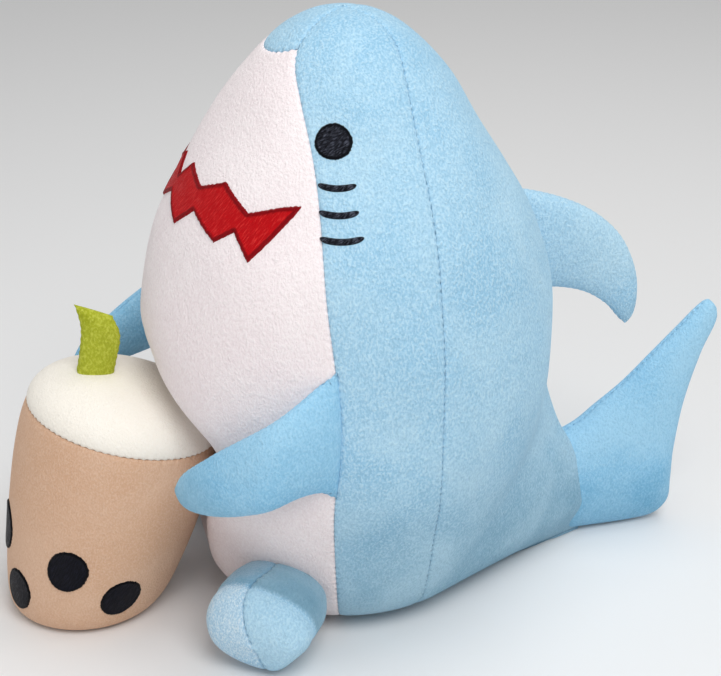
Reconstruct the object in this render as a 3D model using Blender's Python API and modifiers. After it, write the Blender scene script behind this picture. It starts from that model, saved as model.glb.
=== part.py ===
"""Plush shark that hugs a plush bubble-tea cup, built as sewn fabric panels over filling.

All sizes below are in millimetres and degrees. Angles around the body start at the front
(-Y) and rise towards the shark's left side (+X).
"""
import bpy
import bmesh
from math import acos, asin, atan2, cos, degrees, exp, pi, radians, sin, sqrt, tan
from mathutils import Vector

MM = 0.001

# Cloth and sewing
FABRIC = 1.8
GAP = 0.3
SEAM_GAP = 0.6
LOFT = 2.0
THREAD = 0.8
THREAD_LIFT = 0.45
SEAM_EDGE = FABRIC + GAP

# Body
BODY_HEIGHT = 260.0
BODY_RADIUS = 90.5
BASE_RADIUS = 46.0
CROWN_OPENING = 6.0
TAIL_FLARE_REACH = 112.0
TAIL_FLARE_HEIGHT = 50.0
TAIL_FLARE_FADE = 42.0
TAIL_FLARE_ANGLE = 22.0
FLARE_SLACK = 6.0
DENT_SLACK = 9.0
WHITE_TOP_HEIGHT = 246.0
WHITE_TOP_RISE = 4.0

# Outline of the body from the base edge to the crown: share of the radius, share of the height
BODY_OUTLINE = (
    (0.66, 0.012), (0.75, 0.045), (0.80, 0.11), (0.87, 0.20), (0.95, 0.29), (1.0, 0.40), (0.985, 0.53),
    (0.90, 0.655), (0.77, 0.745), (0.61, 0.83), (0.46, 0.905), (0.30, 0.962), (0.15, 0.99),
)

# Seams: share of the body's height, angle from the front
SIDE_SEAM = ((0.0, 73.5), (0.25, 73.0), (0.45, 75.0), (0.62, 72.0), (0.75, 68.5), (0.83, 64.5),
             (0.90, 58.0), (0.96, 42.0), (1.0, 38.0))
BACK_SEAM = ((0.0, 108.5), (0.17, 105.5), (0.35, 102.5), (0.55, 102.8), (0.72, 105.2), (0.85, 109.6),
             (0.92, 116.0), (0.97, 126.0), (1.0, 132.0))

# Cup
CUP_RADIUS = 40.5
CUP_WALL_HEIGHT = 84.0
CUP_EDGE_ROUND = 12.0
CUP_DOME_HEIGHT = 20.0
CUP_LEAN = 13.0
CUP_BASE_REACH = 118.0
CUP_CLEARANCE = 2.5
PEARL_WIDTH = 17.5
PEARL_HEIGHT = 16.0

# Flippers
FLIPPER_THICKNESS = 19.0
FLIPPER_ROOT_ANGLE = 78.0
FLIPPER_ROOT_LOW = 83.0
FLIPPER_ROOT_HIGH = 137.0
FLIPPER_TIP_LOW = 71.0
FLIPPER_TIP_HIGH = 85.0
FLIPPER_TIP_THICKNESS = 9.0

# Dorsal fin
DORSAL_THICKNESS = 18.0
DORSAL_ROOT_LOW = 130.0
DORSAL_ROOT_HIGH = 174.0
DORSAL_REACH = 139.0
DORSAL_TIP_HEIGHT = 107.0

FIN_TIP_THICKNESS = 6.5

# Tail
TAIL_THICKNESS = 28.0
TAIL_REACH = 180.0
TAIL_TIP_HEIGHT = 114.0
TAIL_HEEL_REACH = 161.0
FLOOR_CLEARANCE = 1.2

# Feet
FOOT_ANGLE = 52.0
FOOT_LENGTH = 44.0
FOOT_HEIGHT = 46.0
FOOT_WIDTH = 42.0
FOOT_ROOT_LOW = 12.0

# Face
EYE_ANGLE = 72.6
EYE_HEIGHT = 220.0
EYE_DIAMETER = 15.5
MOUTH_HALF_ANGLE = 62.5
MOUTH_HEIGHT = 190.0
MOUTH_SCALE = 1.0
GILL_ANGLE = 74.8
GILL_LENGTH = 15.0
GILL_SAG = 2.2
GILL_THICKNESS = 2.2
GILL_LOW_HEIGHT = 187.0
GILL_SPACING = 8.8

# Straw
STRAW_THICKNESS = 9.5
STRAW_WIDTH = 15.5
STRAW_LENGTH = 30.0
STRAW_OFFSET = 15.0
STRAW_CLEARANCE = 2.2

# How a seam hinge stands off what it is sewn to
HINGE_CLEARANCE = 1.0

SKY_BLUE = (0.46, 0.70, 0.88)
WHITE = (0.88, 0.84, 0.82)
RED = (0.62, 0.02, 0.02)
NAVY = (0.012, 0.012, 0.035)
TAN = (0.66, 0.41, 0.24)
CREAM = (0.93, 0.90, 0.82)
GREEN = (0.42, 0.50, 0.03)
FIBRE = (0.90, 0.90, 0.88)

SIDES = (("left", 1), ("right", -1))


def clear_scene():
    for item in list(bpy.data.objects):
        bpy.data.objects.remove(item, do_unlink=True)


def make_material(name, colour, roughness):
    material = bpy.data.materials.new(name)
    material.use_nodes = True
    shader = material.node_tree.nodes["Principled BSDF"]
    shader.inputs["Base Color"].default_value = (*colour, 1.0)
    shader.inputs["Roughness"].default_value = roughness
    shader.inputs["Metallic"].default_value = 0.0
    return material


def curve_through(knots, x):
    """Value at x of a smooth curve through (x, value) knots in rising order of x."""
    last = len(knots) - 1
    i = 0
    while i < last - 1 and x > knots[i + 1][0]:
        i += 1
    (x0, v0), (x1, v1) = knots[i], knots[i + 1]
    before = knots[max(i - 1, 0)]
    after = knots[min(i + 2, last)]
    span = x1 - x0
    slope0 = (v1 - before[1]) / (x1 - before[0]) * span
    slope1 = (after[1] - v0) / (after[0] - x0) * span
    t = min(max((x - x0) / span, 0.0), 1.0)
    return (v0 * (2 * t ** 3 - 3 * t ** 2 + 1) + slope0 * (t ** 3 - 2 * t ** 2 + t)
            + v1 * (3 * t ** 2 - 2 * t ** 3) + slope1 * (t ** 3 - t ** 2))


def smooth_step(x):
    t = min(max(x, 0.0), 1.0)
    return t * t * (3 - 2 * t)


# ---------------------------------------------------------------- body form

def body_knots():
    points = [(BASE_RADIUS, 0.0)]
    points += [(share_r * BODY_RADIUS, share_h * BODY_HEIGHT) for share_r, share_h in BODY_OUTLINE]
    points += [(CROWN_OPENING, BODY_HEIGHT)]
    steps = len(points) - 1
    radii = [(i / steps, point[0]) for i, point in enumerate(points)]
    heights = [(i / steps, point[1]) for i, point in enumerate(points)]
    return radii, heights


RADIUS_KNOTS, HEIGHT_KNOTS = body_knots()


def station_at(height):
    """Station along the body's outline, 0 at the base and 1 at the crown, for a height."""
    low, high = 0.0, 1.0
    for _ in range(40):
        middle = (low + high) / 2
        if curve_through(HEIGHT_KNOTS, middle) < height:
            low = middle
        else:
            high = middle
    return (low + high) / 2


def cup_centre_reach(height):
    return CUP_BASE_REACH - height * tan(radians(CUP_LEAN))


def cup_room(height):
    """Radius that the belly leaves free around the cup's leaning axis, rounded over the dome."""
    full = CUP_RADIUS / cos(radians(CUP_LEAN)) + CUP_CLEARANCE
    shoulder = CUP_WALL_HEIGHT
    top = CUP_WALL_HEIGHT + CUP_DOME_HEIGHT * 1.9
    rise = min(max((height - shoulder) / (top - shoulder), 0.0), 1.0)
    return full * sqrt(1 - rise ** 2)


def dent_limit(angle, height):
    """How far the belly may reach at an angle before it would press into the cup."""
    reach = cup_centre_reach(height)
    room = cup_room(height)
    aside = reach * sin(radians(angle))
    if abs(angle) > 60 or room <= abs(aside):
        return BODY_RADIUS * 2
    return reach * cos(radians(angle)) - sqrt(room ** 2 - aside ** 2)


def flare_share(angle, height, spread=1.0):
    """How much of the tail flare is felt at a place on the body, from 0 to 1."""
    off_back = 180.0 - abs(angle)
    fade = 1 - smooth_step((height - TAIL_FLARE_HEIGHT) / TAIL_FLARE_FADE)
    return exp(-(off_back / TAIL_FLARE_ANGLE / spread) ** 4) * fade


def dent_share(angle, height):
    """How near a place on the body is to the hollow that the cup sits in, from 0 to 1."""
    beside = smooth_step((50.0 - abs(angle)) / 18.0)
    above = smooth_step((CUP_WALL_HEIGHT + 4 * CUP_DOME_HEIGHT - height) / CUP_DOME_HEIGHT)
    return beside * above * smooth_step(height / CUP_EDGE_ROUND - 1)


def body_radius(angle, station):
    radius = curve_through(RADIUS_KNOTS, station)
    height = curve_through(HEIGHT_KNOTS, station)
    radius += max(TAIL_FLARE_REACH - radius, 0.0) * flare_share(angle, height)
    return min(radius, dent_limit(angle, height))


def on_body(angle, station):
    radius = body_radius(angle, station)
    height = curve_through(HEIGHT_KNOTS, station)
    return Vector((radius * sin(radians(angle)), -radius * cos(radians(angle)), height))


def above_body(angle, station, lift):
    """Point at a distance above the body's skin, measured along the skin's normal."""
    here = on_body(angle, station)
    step_a = on_body(angle + 0.5, station) - on_body(angle - 0.5, station)
    step_s = on_body(angle, min(station + 0.004, 1.0)) - on_body(angle, max(station - 0.004, 0.0))
    return here + step_a.cross(step_s).normalized() * lift


def seam_angle(table, station, side):
    """Angle of a body seam, moved to one side by half the gap between two panels."""
    height = curve_through(HEIGHT_KNOTS, station)
    radius = curve_through(RADIUS_KNOTS, station)
    return curve_through(table, height / BODY_HEIGHT) + side * degrees(SEAM_GAP / 2 / radius)


# ---------------------------------------------------------------- building tools

def link_part(name, mesh, material, parent=None):
    """Names a mesh that is in millimetres, scales it to metres and puts it in the toy's collection."""
    for vertex in mesh.vertices:
        vertex.co *= MM
    mesh.shade_smooth()
    mesh.name = name
    part = bpy.data.objects.new(name, mesh)
    part.data.materials.append(material)
    part.parent = parent
    PARTS.objects.link(part)
    return part


def mapped_grid(columns, rows, where):
    """A grid whose corners run over 0..1 both ways, laid where the given function says."""
    grid = bmesh.new()
    bmesh.ops.create_grid(grid, x_segments=columns, y_segments=rows, size=0.5)
    for vertex in grid.verts:
        vertex.co = where(vertex.co.x + 0.5, vertex.co.y + 0.5)
    return grid


def to_mesh(work, name):
    mesh = bpy.data.meshes.new(name)
    work.to_mesh(mesh)
    work.free()
    return mesh


def thicken(part, thickness, offset):
    solidify = part.modifiers.new("thickness", "SOLIDIFY")
    solidify.thickness = thickness * MM
    solidify.offset = offset
    return part


def cloth(name, columns, rows, where, material, offset=-1.0, thickness=FABRIC, parent=None):
    """A sewn panel: an open surface with the thickness of the fabric on its inner side."""
    mesh = to_mesh(mapped_grid(columns, rows, where), name)
    return thicken(link_part(name, mesh, material, parent), thickness, offset)


def place_joint_empty(name, x, y, z):
    empty = bpy.data.objects.new(name, None)
    empty.location = (x * MM, y * MM, z * MM)
    PARTS.objects.link(empty)
    return empty


# ---------------------------------------------------------------- body

def panel_between(left_edge, right_edge, low, high):
    """Placement function of a body panel from its seam angles and its low and high stations.

    Columns lie closer together near the seams, where the fabric's edge has to stay square.
    """
    def where(across, up):
        across = across * 0.4 + (0.5 - 0.5 * cos(pi * across)) * 0.6
        station = low(across) + (high(across) - low(across)) * up
        left = left_edge(station)
        angle = left + (right_edge(station) - left) * across
        return on_body(angle, station)
    return where


def white_top(across, extra=0.0):
    rise = WHITE_TOP_RISE * (2 * across - 1) ** 2
    return station_at(WHITE_TOP_HEIGHT + rise + extra)


def build_body(white, blue, fibre):
    def bottom(across):
        return 0.0

    def crown(across):
        return 1.0

    def front_right_edge(station):
        return -seam_angle(SIDE_SEAM, station, -1)

    def front_left_edge(station):
        return seam_angle(SIDE_SEAM, station, -1)

    def side_front_edge(station):
        return seam_angle(SIDE_SEAM, station, 1)

    def side_back_edge(station):
        return seam_angle(BACK_SEAM, station, -1)

    def back_front_edge(station):
        return seam_angle(BACK_SEAM, station, 1)

    def centre_back_edge(station):
        return 180.0 - degrees(SEAM_GAP / 2 / curve_through(RADIUS_KNOTS, station))

    def above_white(across):
        return white_top(across, GAP)

    cloth("front_panel", 16, 26, panel_between(front_right_edge, front_left_edge, bottom, white_top), white)
    cloth("snout_panel", 8, 3, panel_between(front_right_edge, front_left_edge, above_white, crown), blue)
    side = panel_between(side_front_edge, side_back_edge, bottom, crown)
    back = panel_between(back_front_edge, centre_back_edge, bottom, crown)
    for name, sign in SIDES:
        mirrored_cloth("side_panel_" + name, 4, 26, side, blue, sign)
        mirrored_cloth("back_panel_" + name, 10, 20, back, blue, sign)
    build_base(blue)
    build_body_filling(fibre)


def mirror_x(where, sign):
    """The same placement on the shark's left (+1) or right (-1) side, facing the same way out."""
    if sign > 0:
        return where

    def mirrored(across, up):
        point = where(1 - across, up)
        return Vector((-point.x, point.y, point.z))
    return mirrored


def mirrored_cloth(name, columns, rows, where, material, sign, **options):
    return cloth(name, columns, rows, mirror_x(where, sign), material, **options)


def base_edge(angle):
    """Edge of the base panel, inside the panel above it where that stands up steeply."""
    inner = above_body(angle, 0.0, -1.7 * FABRIC)
    reach = sqrt(inner.x ** 2 + inner.y ** 2)
    return inner * ((reach - 3 * GAP) / reach) * MM


def build_base(material):
    """Flat panel that the toy sits on, cut to the outline of the body's lower edge."""
    outline = bpy.data.curves.new("base_outline", "CURVE")
    outline.dimensions = "2D"
    outline.fill_mode = "BOTH"
    outline.extrude = FABRIC / 2 * MM
    steps = 60
    spline = outline.splines.new("POLY")
    spline.points.add(steps - 1)
    for i in range(steps):
        angle = -180.0 + 360.0 * i / steps
        edge = base_edge(angle)
        spline.points[i].co = (edge.x, edge.y, 0.0, 1.0)
    spline.use_cyclic_u = True
    curve = bpy.data.objects.new("base_curve", outline)
    curve.location.z = FABRIC / 2 * MM
    PARTS.objects.link(curve)
    bpy.context.view_layer.update()
    mesh = bpy.data.meshes.new_from_object(curve.evaluated_get(bpy.context.evaluated_depsgraph_get()))
    mesh.name = "base_panel"
    work = bmesh.new()
    work.from_mesh(mesh)
    bmesh.ops.remove_doubles(work, verts=work.verts, dist=0.0001 * MM)
    work.to_mesh(mesh)
    work.free()
    base = bpy.data.objects.new("base_panel", mesh)
    base.matrix_world = curve.matrix_world
    bpy.data.objects.remove(curve, do_unlink=True)
    mesh.materials.append(material)
    PARTS.objects.link(base)


def build_body_filling(material):
    """Fibre that fills the body, a little inside the panels."""
    depth = FABRIC + LOFT
    lowest = station_at(FABRIC + LOFT)
    highest = station_at(BODY_HEIGHT - 2 * FABRIC)
    ball = bmesh.new()
    bmesh.ops.create_uvsphere(ball, u_segments=30, v_segments=18, radius=1.0)
    for vertex in ball.verts:
        x, y, z = vertex.co
        share = 0.5 + asin(max(min(z, 1.0), -1.0)) / pi
        station = lowest + (highest - lowest) * share
        height = max(curve_through(HEIGHT_KNOTS, station) - LOFT * share, FABRIC + LOFT)
        flat = sqrt(x * x + y * y)
        if flat < 1e-6:
            vertex.co = (0.0, 0.0, height)
            continue
        angle = degrees(atan2(x, -y))
        slack = FLARE_SLACK * flare_share(angle, height, 1.4) + DENT_SLACK * dent_share(angle, height)
        inner = above_body(angle, station, -depth - slack)
        vertex.co = (inner.x, inner.y, max(inner.z, depth))
    link_part("body_filling", to_mesh(ball, "body_filling"), material)


# ---------------------------------------------------------------- embroidery on the body

# Zigzag mouth from the centre line to a corner: share of the half angle, height from the middle
MOUTH_TOP = ((0.0, 5.5), (0.11, 12.7), (0.31, 7.4), (0.50, 12.0), (0.70, 3.5), (0.90, 7.4), (1.0, 8.6))
MOUTH_BOTTOM = ((0.0, -1.7), (0.215, -9.5), (0.345, -1.7), (0.55, -9.5), (0.65, -4.3), (0.766, -13.4), (1.0, 7.4))


def straight_through(knots, x):
    for (x0, v0), (x1, v1) in zip(knots, knots[1:]):
        if x <= x1:
            return v0 + (v1 - v0) * (x - x0) / (x1 - x0)
    return knots[-1][1]


def build_mouth(material):
    """One satin-stitched zigzag patch, laid on the white panel."""
    def where(across, up):
        share = abs(2 * across - 1)
        low = straight_through(MOUTH_BOTTOM, share)
        high = straight_through(MOUTH_TOP, share)
        height = MOUTH_HEIGHT + low + (high - low) * up
        angle = MOUTH_HALF_ANGLE * (2 * across - 1)
        return above_body(angle, station_at(height), THREAD_LIFT)
    cloth("mouth", 48, 1, where, material, offset=1.0, thickness=THREAD)


def embroidered_disc(name, width, height, where, material, parent=None):
    """A flat disc of thread laid where a function of the offsets from its middle says."""
    disc = bmesh.new()
    bmesh.ops.create_circle(disc, cap_ends=True, cap_tris=True, segments=16, radius=0.5)
    for vertex in disc.verts:
        vertex.co = where(vertex.co.x * width, vertex.co.y * height)
    part = link_part(name, to_mesh(disc, name), material, parent)
    return thicken(part, THREAD, 1.0)


def side_spot(angle, height, sign):
    """Placement around a spot on the shark's left or right side, in millimetres along the skin."""
    station = station_at(height)
    radius = body_radius(angle, station)
    step = 0.01
    rise = (on_body(angle, station + step) - on_body(angle, station)).length / step

    def where(aside, up, lift=THREAD_LIFT):
        point = above_body(angle + degrees(aside / radius) * sign, station + up / rise, lift)
        return Vector((point.x * sign, point.y, point.z))
    return where


def build_face(thread):
    for name, sign in SIDES:
        spot = side_spot(EYE_ANGLE, EYE_HEIGHT, sign)
        embroidered_disc("eye_" + name, EYE_DIAMETER, EYE_DIAMETER, spot, thread)
        for i in range(3):
            build_gill("gill_%s_%d" % (name, i + 1), GILL_LOW_HEIGHT + GILL_SPACING * i, sign, thread)


def build_gill(name, height, sign, material):
    """A short bowed stroke of thread behind the eye."""
    spot = side_spot(GILL_ANGLE + (GILL_LOW_HEIGHT - height) * 0.1, height, sign)
    stroke = bpy.data.curves.new(name + "_path", "CURVE")
    stroke.dimensions = "3D"
    stroke.bevel_depth = GILL_THICKNESS / 2
    stroke.bevel_resolution = 1
    stroke.use_fill_caps = True
    steps = 5
    spline = stroke.splines.new("POLY")
    spline.points.add(steps)
    for i in range(steps + 1):
        along = i / steps - 0.5
        sag = GILL_SAG * (1 - 4 * along * along)
        point = spot(along * GILL_LENGTH, -sag, GILL_THICKNESS / 2 + THREAD_LIFT)
        spline.points[i].co = (*point, 1.0)
    curve = bpy.data.objects.new(name + "_curve", stroke)
    PARTS.objects.link(curve)
    bpy.context.view_layer.update()
    mesh = bpy.data.meshes.new_from_object(curve.evaluated_get(bpy.context.evaluated_depsgraph_get()))
    bpy.data.objects.remove(curve, do_unlink=True)
    work = bmesh.new()
    work.from_mesh(mesh)
    bmesh.ops.remove_doubles(work, verts=work.verts, dist=0.0001)
    bpy.data.meshes.remove(mesh)
    link_part(name, to_mesh(work, name), material)


# ---------------------------------------------------------------- stuffed limbs

# Rows of a limb lie closer together near its root
ROOT_CROWDING = 1.5


def shrink(edges, inset):
    """The outline moved in from both edges, for the filling inside a limb."""
    low, high = edges
    middle = (low + high) / 2
    half = (high - low) / 2
    share = max(1 - 2.2 * inset / half.length, 0.3)
    return middle - half * share, middle + half * share


def limb_panels(name, edges, puff, place, materials, names, joint, columns=6, rows=8):
    """Two panels sewn round one outline, with the filling between them.

    edges(a) gives the two ends of the crossing line at a share a of the length, puff(a) the
    half thickness there, and place(point, out) the position in the toy's frame.
    """
    cloth_material, fibre = materials
    joint_place = joint.location / MM
    inset = FABRIC + LOFT
    low, high = edges(0.5)
    across_way = place(high, 0.0) - place(low, 0.0)
    along_way = place(edges(0.6)[0], 0.0) - place(low, 0.0)
    out_way = place(low, 1.0) - place(low, 0.0)
    hand = 1 if across_way.cross(along_way).dot(out_way) > 0 else -1

    def surface(side, inwards, edge):
        def where(across, row):
            along = row ** ROOT_CROWDING
            share = (2 * across - 1) * side * hand
            low, high = shrink(edges(along), inwards)
            thick = max(puff(along) - inwards, edge + 0.4)
            out = edge + (thick - edge) * sqrt(max(1 - share ** 2, 0.0))
            return place((low + high) / 2 + (high - low) / 2 * share, out * side) - joint_place
        return where

    for panel_name, side in names:
        cloth(name + panel_name, columns, rows, surface(side, 0.0, SEAM_EDGE), cloth_material, parent=joint)

    def stuffed(side):
        filled = surface(side, inset, 0.0)

        def where(across, row):
            share = (2 * across - 1) * side * hand
            stretch = 0.28 + 0.62 * row
            low, high = shrink(edges(stretch ** ROOT_CROWDING), inset)
            flat = place((low + high) / 2 + (high - low) / 2 * share, 0.0) - joint_place
            end = sqrt(max(1 - abs(2 * row - 1) ** 3, 0.0))
            return flat + (filled(across, stretch) - flat) * end
        return where

    stuffing = bmesh.new()
    for side in (1, -1):
        mesh = to_mesh(mapped_grid(columns, rows, stuffed(side)), "half")
        stuffing.from_mesh(mesh)
        bpy.data.meshes.remove(mesh)
    bmesh.ops.remove_doubles(stuffing, verts=stuffing.verts, dist=0.0001)
    link_part(name + "_filling", to_mesh(stuffing, name), fibre, joint)


def edge_curves(low_knots, high_knots):
    """Crossing lines between two edge curves, each a list of 2-D points at even shares."""
    def split(points):
        steps = len(points) - 1
        return [[(i / steps, point[axis]) for i, point in enumerate(points)] for axis in (0, 1)]

    low_curves, high_curves = split(low_knots), split(high_knots)

    def edges(along):
        low = Vector([curve_through(knots, along) for knots in low_curves])
        high = Vector([curve_through(knots, along) for knots in high_curves])
        return low, high
    return edges


def rounded_taper(thickness, tip_thickness, length):
    """Half thickness along a limb, half round at the root so that it can turn, thin at the tip."""
    root_share = thickness / 2 / length

    def puff(along):
        full = (thickness - tip_thickness) / 2 * sqrt(max(1 - along ** 3, 0.0)) + tip_thickness / 2
        past_root = min(along / root_share, 1.0)
        return full * sqrt(1 - (1 - past_root) ** 2)
    return puff


def build_flippers(materials):
    """Each flipper bends round the belly to the cup, and swings out on the side seam."""
    reach = BODY_RADIUS + HINGE_CLEARANCE + FLIPPER_THICKNESS / 2
    cup_height = (FLIPPER_TIP_LOW + FLIPPER_TIP_HIGH) / 2
    cup_reach = cup_centre_reach(cup_height)
    room = CUP_RADIUS + CUP_CLEARANCE + FLIPPER_TIP_THICKNESS / 2
    nearest = (reach ** 2 + cup_reach ** 2 - room ** 2) / (2 * reach * cup_reach)
    tip_angle = degrees(acos(nearest)) + 1.0
    arc = FLIPPER_ROOT_ANGLE - tip_angle
    length = radians(arc) * reach
    low = ((0.0, FLIPPER_ROOT_LOW), (0.33, 79.0), (0.66, 73.0), (1.0, FLIPPER_TIP_LOW + 3))
    high = ((0.0, FLIPPER_ROOT_HIGH), (0.33, 122.0), (0.66, 104.0), (1.0, FLIPPER_TIP_HIGH))
    edges = edge_curves(low, high)
    puff = rounded_taper(FLIPPER_THICKNESS, FLIPPER_TIP_THICKNESS, length)
    for name, sign in SIDES:
        def place(point, out, sign=sign):
            angle = radians(FLIPPER_ROOT_ANGLE - arc * point.x)
            radius = reach + out
            return Vector((radius * sin(angle) * sign, -radius * cos(angle), point.y))
        hinge = place(Vector((FLIPPER_THICKNESS / 2 / length, 0.0)), 0.0)
        joint = place_joint_empty("flipper_%s_joint" % name, hinge.x, hinge.y, 0.0)
        names = (("_outer_panel", 1), ("_inner_panel", -1))
        limb_panels("flipper_" + name, edges, puff, place, materials, names, joint)


def build_dorsal_fin(materials):
    """A drooping horn sewn on the centre-back seam, which sways from side to side."""
    bulge = BODY_RADIUS * 0.035
    low_reach = body_radius(180.0, station_at(DORSAL_ROOT_LOW)) + HINGE_CLEARANCE + bulge
    high_reach = body_radius(180.0, station_at(DORSAL_ROOT_HIGH)) + HINGE_CLEARANCE + bulge
    span = DORSAL_REACH - low_reach
    drop = DORSAL_ROOT_HIGH - DORSAL_TIP_HEIGHT
    high = (
        (high_reach, DORSAL_ROOT_HIGH),
        (low_reach + span * 0.40, DORSAL_ROOT_HIGH - drop * 0.13),
        (low_reach + span * 0.84, DORSAL_ROOT_HIGH - drop * 0.42),
        (DORSAL_REACH, DORSAL_ROOT_HIGH - drop * 0.75),
        (DORSAL_REACH - span * 0.10, DORSAL_TIP_HEIGHT + 1.0),
    )
    low = (
        (low_reach, DORSAL_ROOT_LOW),
        (low_reach + span * 0.25, DORSAL_ROOT_LOW - 3.0),
        (low_reach + span * 0.48, DORSAL_ROOT_LOW - 7.0),
        (low_reach + span * 0.66, DORSAL_ROOT_LOW - 14.0),
        (DORSAL_REACH - span * 0.22, DORSAL_TIP_HEIGHT),
    )
    build_fin("dorsal_fin", low, high, DORSAL_THICKNESS, span * 1.3, materials)


def build_fin(name, low, high, thickness, length, materials):
    """A fin in the toy's middle plane, hinged along its root."""
    joint = place_joint_empty(name + "_joint", 0.0, low[0][0] + thickness / 2, low[0][1])
    puff = rounded_taper(thickness, FIN_TIP_THICKNESS, length)

    def place(point, out):
        return Vector((out, point.x, point.y))
    names = (("_left_panel", 1), ("_right_panel", -1))
    limb_panels(name, edge_curves(low, high), puff, place, materials, names, joint, rows=10)


def build_tail_fin(materials):
    """An upright fin with one long upper lobe and a blunt heel, sewn on the end of the body."""
    root = TAIL_FLARE_REACH + HINGE_CLEARANCE
    floor = FLOOR_CLEARANCE
    rise = TAIL_TIP_HEIGHT - TAIL_FLARE_HEIGHT
    run = TAIL_REACH - root
    high = (
        (root, TAIL_FLARE_HEIGHT),
        (root + run * 0.30, TAIL_FLARE_HEIGHT + rise * 0.35),
        (root + run * 0.62, TAIL_FLARE_HEIGHT + rise * 0.70),
        (root + run * 0.90, TAIL_TIP_HEIGHT),
    )
    low = (
        (root, floor),
        (TAIL_HEEL_REACH, floor + 4.0),
        (TAIL_HEEL_REACH + 4.0, TAIL_FLARE_HEIGHT + rise * 0.15),
        (TAIL_REACH, TAIL_TIP_HEIGHT - 10.0),
    )
    build_fin("tail_fin", low, high, TAIL_THICKNESS, run * 1.2, materials)


def build_feet(materials):
    """Stubby feet at the front corners of the base, each two halves sewn over the top."""
    for name, sign in SIDES:
        angle = radians(FOOT_ANGLE)
        outward = Vector((sin(angle) * sign, -cos(angle), 0.0))
        aside = Vector((cos(angle) * sign, sin(angle), 0.0))
        wall = body_radius(FOOT_ANGLE, station_at(FOOT_HEIGHT))
        root_reach = wall + HINGE_CLEARANCE
        floor = FLOOR_CLEARANCE
        low = (
            (0.0, FOOT_ROOT_LOW),
            (FOOT_LENGTH * 0.3, floor + 2.0),
            (FOOT_LENGTH * 0.68, floor),
            (FOOT_LENGTH * 0.95, floor + 11.0),
        )
        high = (
            (0.0, FOOT_HEIGHT * 0.75),
            (FOOT_LENGTH * 0.30, FOOT_HEIGHT),
            (FOOT_LENGTH * 0.75, FOOT_HEIGHT * 0.88),
            (FOOT_LENGTH, FOOT_HEIGHT * 0.5),
        )

        def place(point, out, outward=outward, aside=aside, root_reach=root_reach):
            return outward * (root_reach + point.x) + aside * out + Vector((0.0, 0.0, point.y))
        hinge = place(Vector((FOOT_WIDTH * 0.3, 0.0)), 0.0)
        joint = place_joint_empty("foot_%s_joint" % name, hinge.x, hinge.y, 0.0)

        def puff(along):
            return FOOT_WIDTH / 2 * sqrt(max(1 - abs(1.96 * along - 0.98) ** 2.4, 0.0))
        names = (("_outer_half", 1), ("_inner_half", -1))
        limb_panels("foot_" + name, edge_curves(low, high), puff, place, materials, names, joint)


# ---------------------------------------------------------------- cup

def turned(name, outline, material, parent, steps=28):
    """A solid turned about Z from a closed outline of (radius, height) points."""
    work = bmesh.new()
    corners = [work.verts.new((radius, 0.0, height)) for radius, height in outline]
    for a, b in zip(corners, corners[1:] + corners[:1]):
        if a.co.x > 0.0 or b.co.x > 0.0:
            work.edges.new((a, b))
    part = link_part(name, to_mesh(work, name), material, parent)
    screw = part.modifiers.new("turn", "SCREW")
    screw.steps = steps
    screw.render_steps = steps
    screw.use_merge_vertices = True
    screw.merge_threshold = 0.00001
    return part


def arc_points(centre_radius, centre_height, radius_x, radius_z, start, end, count):
    points = []
    for i in range(count + 1):
        turn = radians(start + (end - start) * i / count)
        points.append((centre_radius + radius_x * cos(turn), centre_height + radius_z * sin(turn)))
    return points


def build_cup(tan_cloth, cream_cloth, fibre, thread):
    lowest = (CUP_RADIUS - CUP_EDGE_ROUND) * sin(radians(CUP_LEAN)) + 0.6
    base = Vector((0.0, -CUP_BASE_REACH, lowest))
    stand = place_joint_empty("cup_stand", *base)
    stand.rotation_euler.x = -radians(CUP_LEAN)
    corner = CUP_RADIUS - CUP_EDGE_ROUND
    inner_round = CUP_EDGE_ROUND - FABRIC
    outer = arc_points(corner, CUP_EDGE_ROUND, CUP_EDGE_ROUND, CUP_EDGE_ROUND, 0, -90, 5)
    inner = arc_points(corner, CUP_EDGE_ROUND, inner_round, inner_round, -90, 0, 5)
    wall = [(CUP_RADIUS, CUP_WALL_HEIGHT)] + outer + inner + [(CUP_RADIUS - FABRIC, CUP_WALL_HEIGHT)]
    turned("cup_wall", wall, tan_cloth, stand)
    disc = corner - GAP
    turned("cup_base", [(0.0, FABRIC), (disc, FABRIC), (disc, 0.0), (0.0, 0.0)], tan_cloth, stand)

    rim = CUP_WALL_HEIGHT + GAP
    dome = arc_points(0.0, rim, CUP_RADIUS - 0.5, CUP_DOME_HEIGHT, 90, 0, 7)
    hollow = arc_points(0.0, rim, CUP_RADIUS - 0.5 - FABRIC, CUP_DOME_HEIGHT - FABRIC, 0, 90, 7)
    dome[0] = (0.0, rim + CUP_DOME_HEIGHT)
    hollow[-1] = (0.0, rim + CUP_DOME_HEIGHT - FABRIC)
    turned("cup_cream_top", dome + hollow, cream_cloth, stand)

    inset = FABRIC + LOFT
    full = CUP_RADIUS - inset
    soft_dome = arc_points(0.0, rim, full, CUP_DOME_HEIGHT - inset, 90, 0, 6)
    soft_dome[0] = (0.0, rim + CUP_DOME_HEIGHT - inset)
    soft_round = CUP_EDGE_ROUND - inset
    soft_edge = arc_points(corner, CUP_EDGE_ROUND, soft_round, soft_round, 0, -90, 4)
    turned("cup_filling", soft_dome + soft_edge + [(0.0, inset)], fibre, stand, steps=20)
    build_pearls(thread, stand)
    return stand


# Pearls round the lower cup: angle from the cup's front, height up the wall
PEARLS = ((95.0, 18.0), (60.0, 26.0), (29.0, 14.0), (8.0, 40.0), (-28.0, 18.0), (-62.0, 32.0), (-97.0, 20.0))


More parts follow.
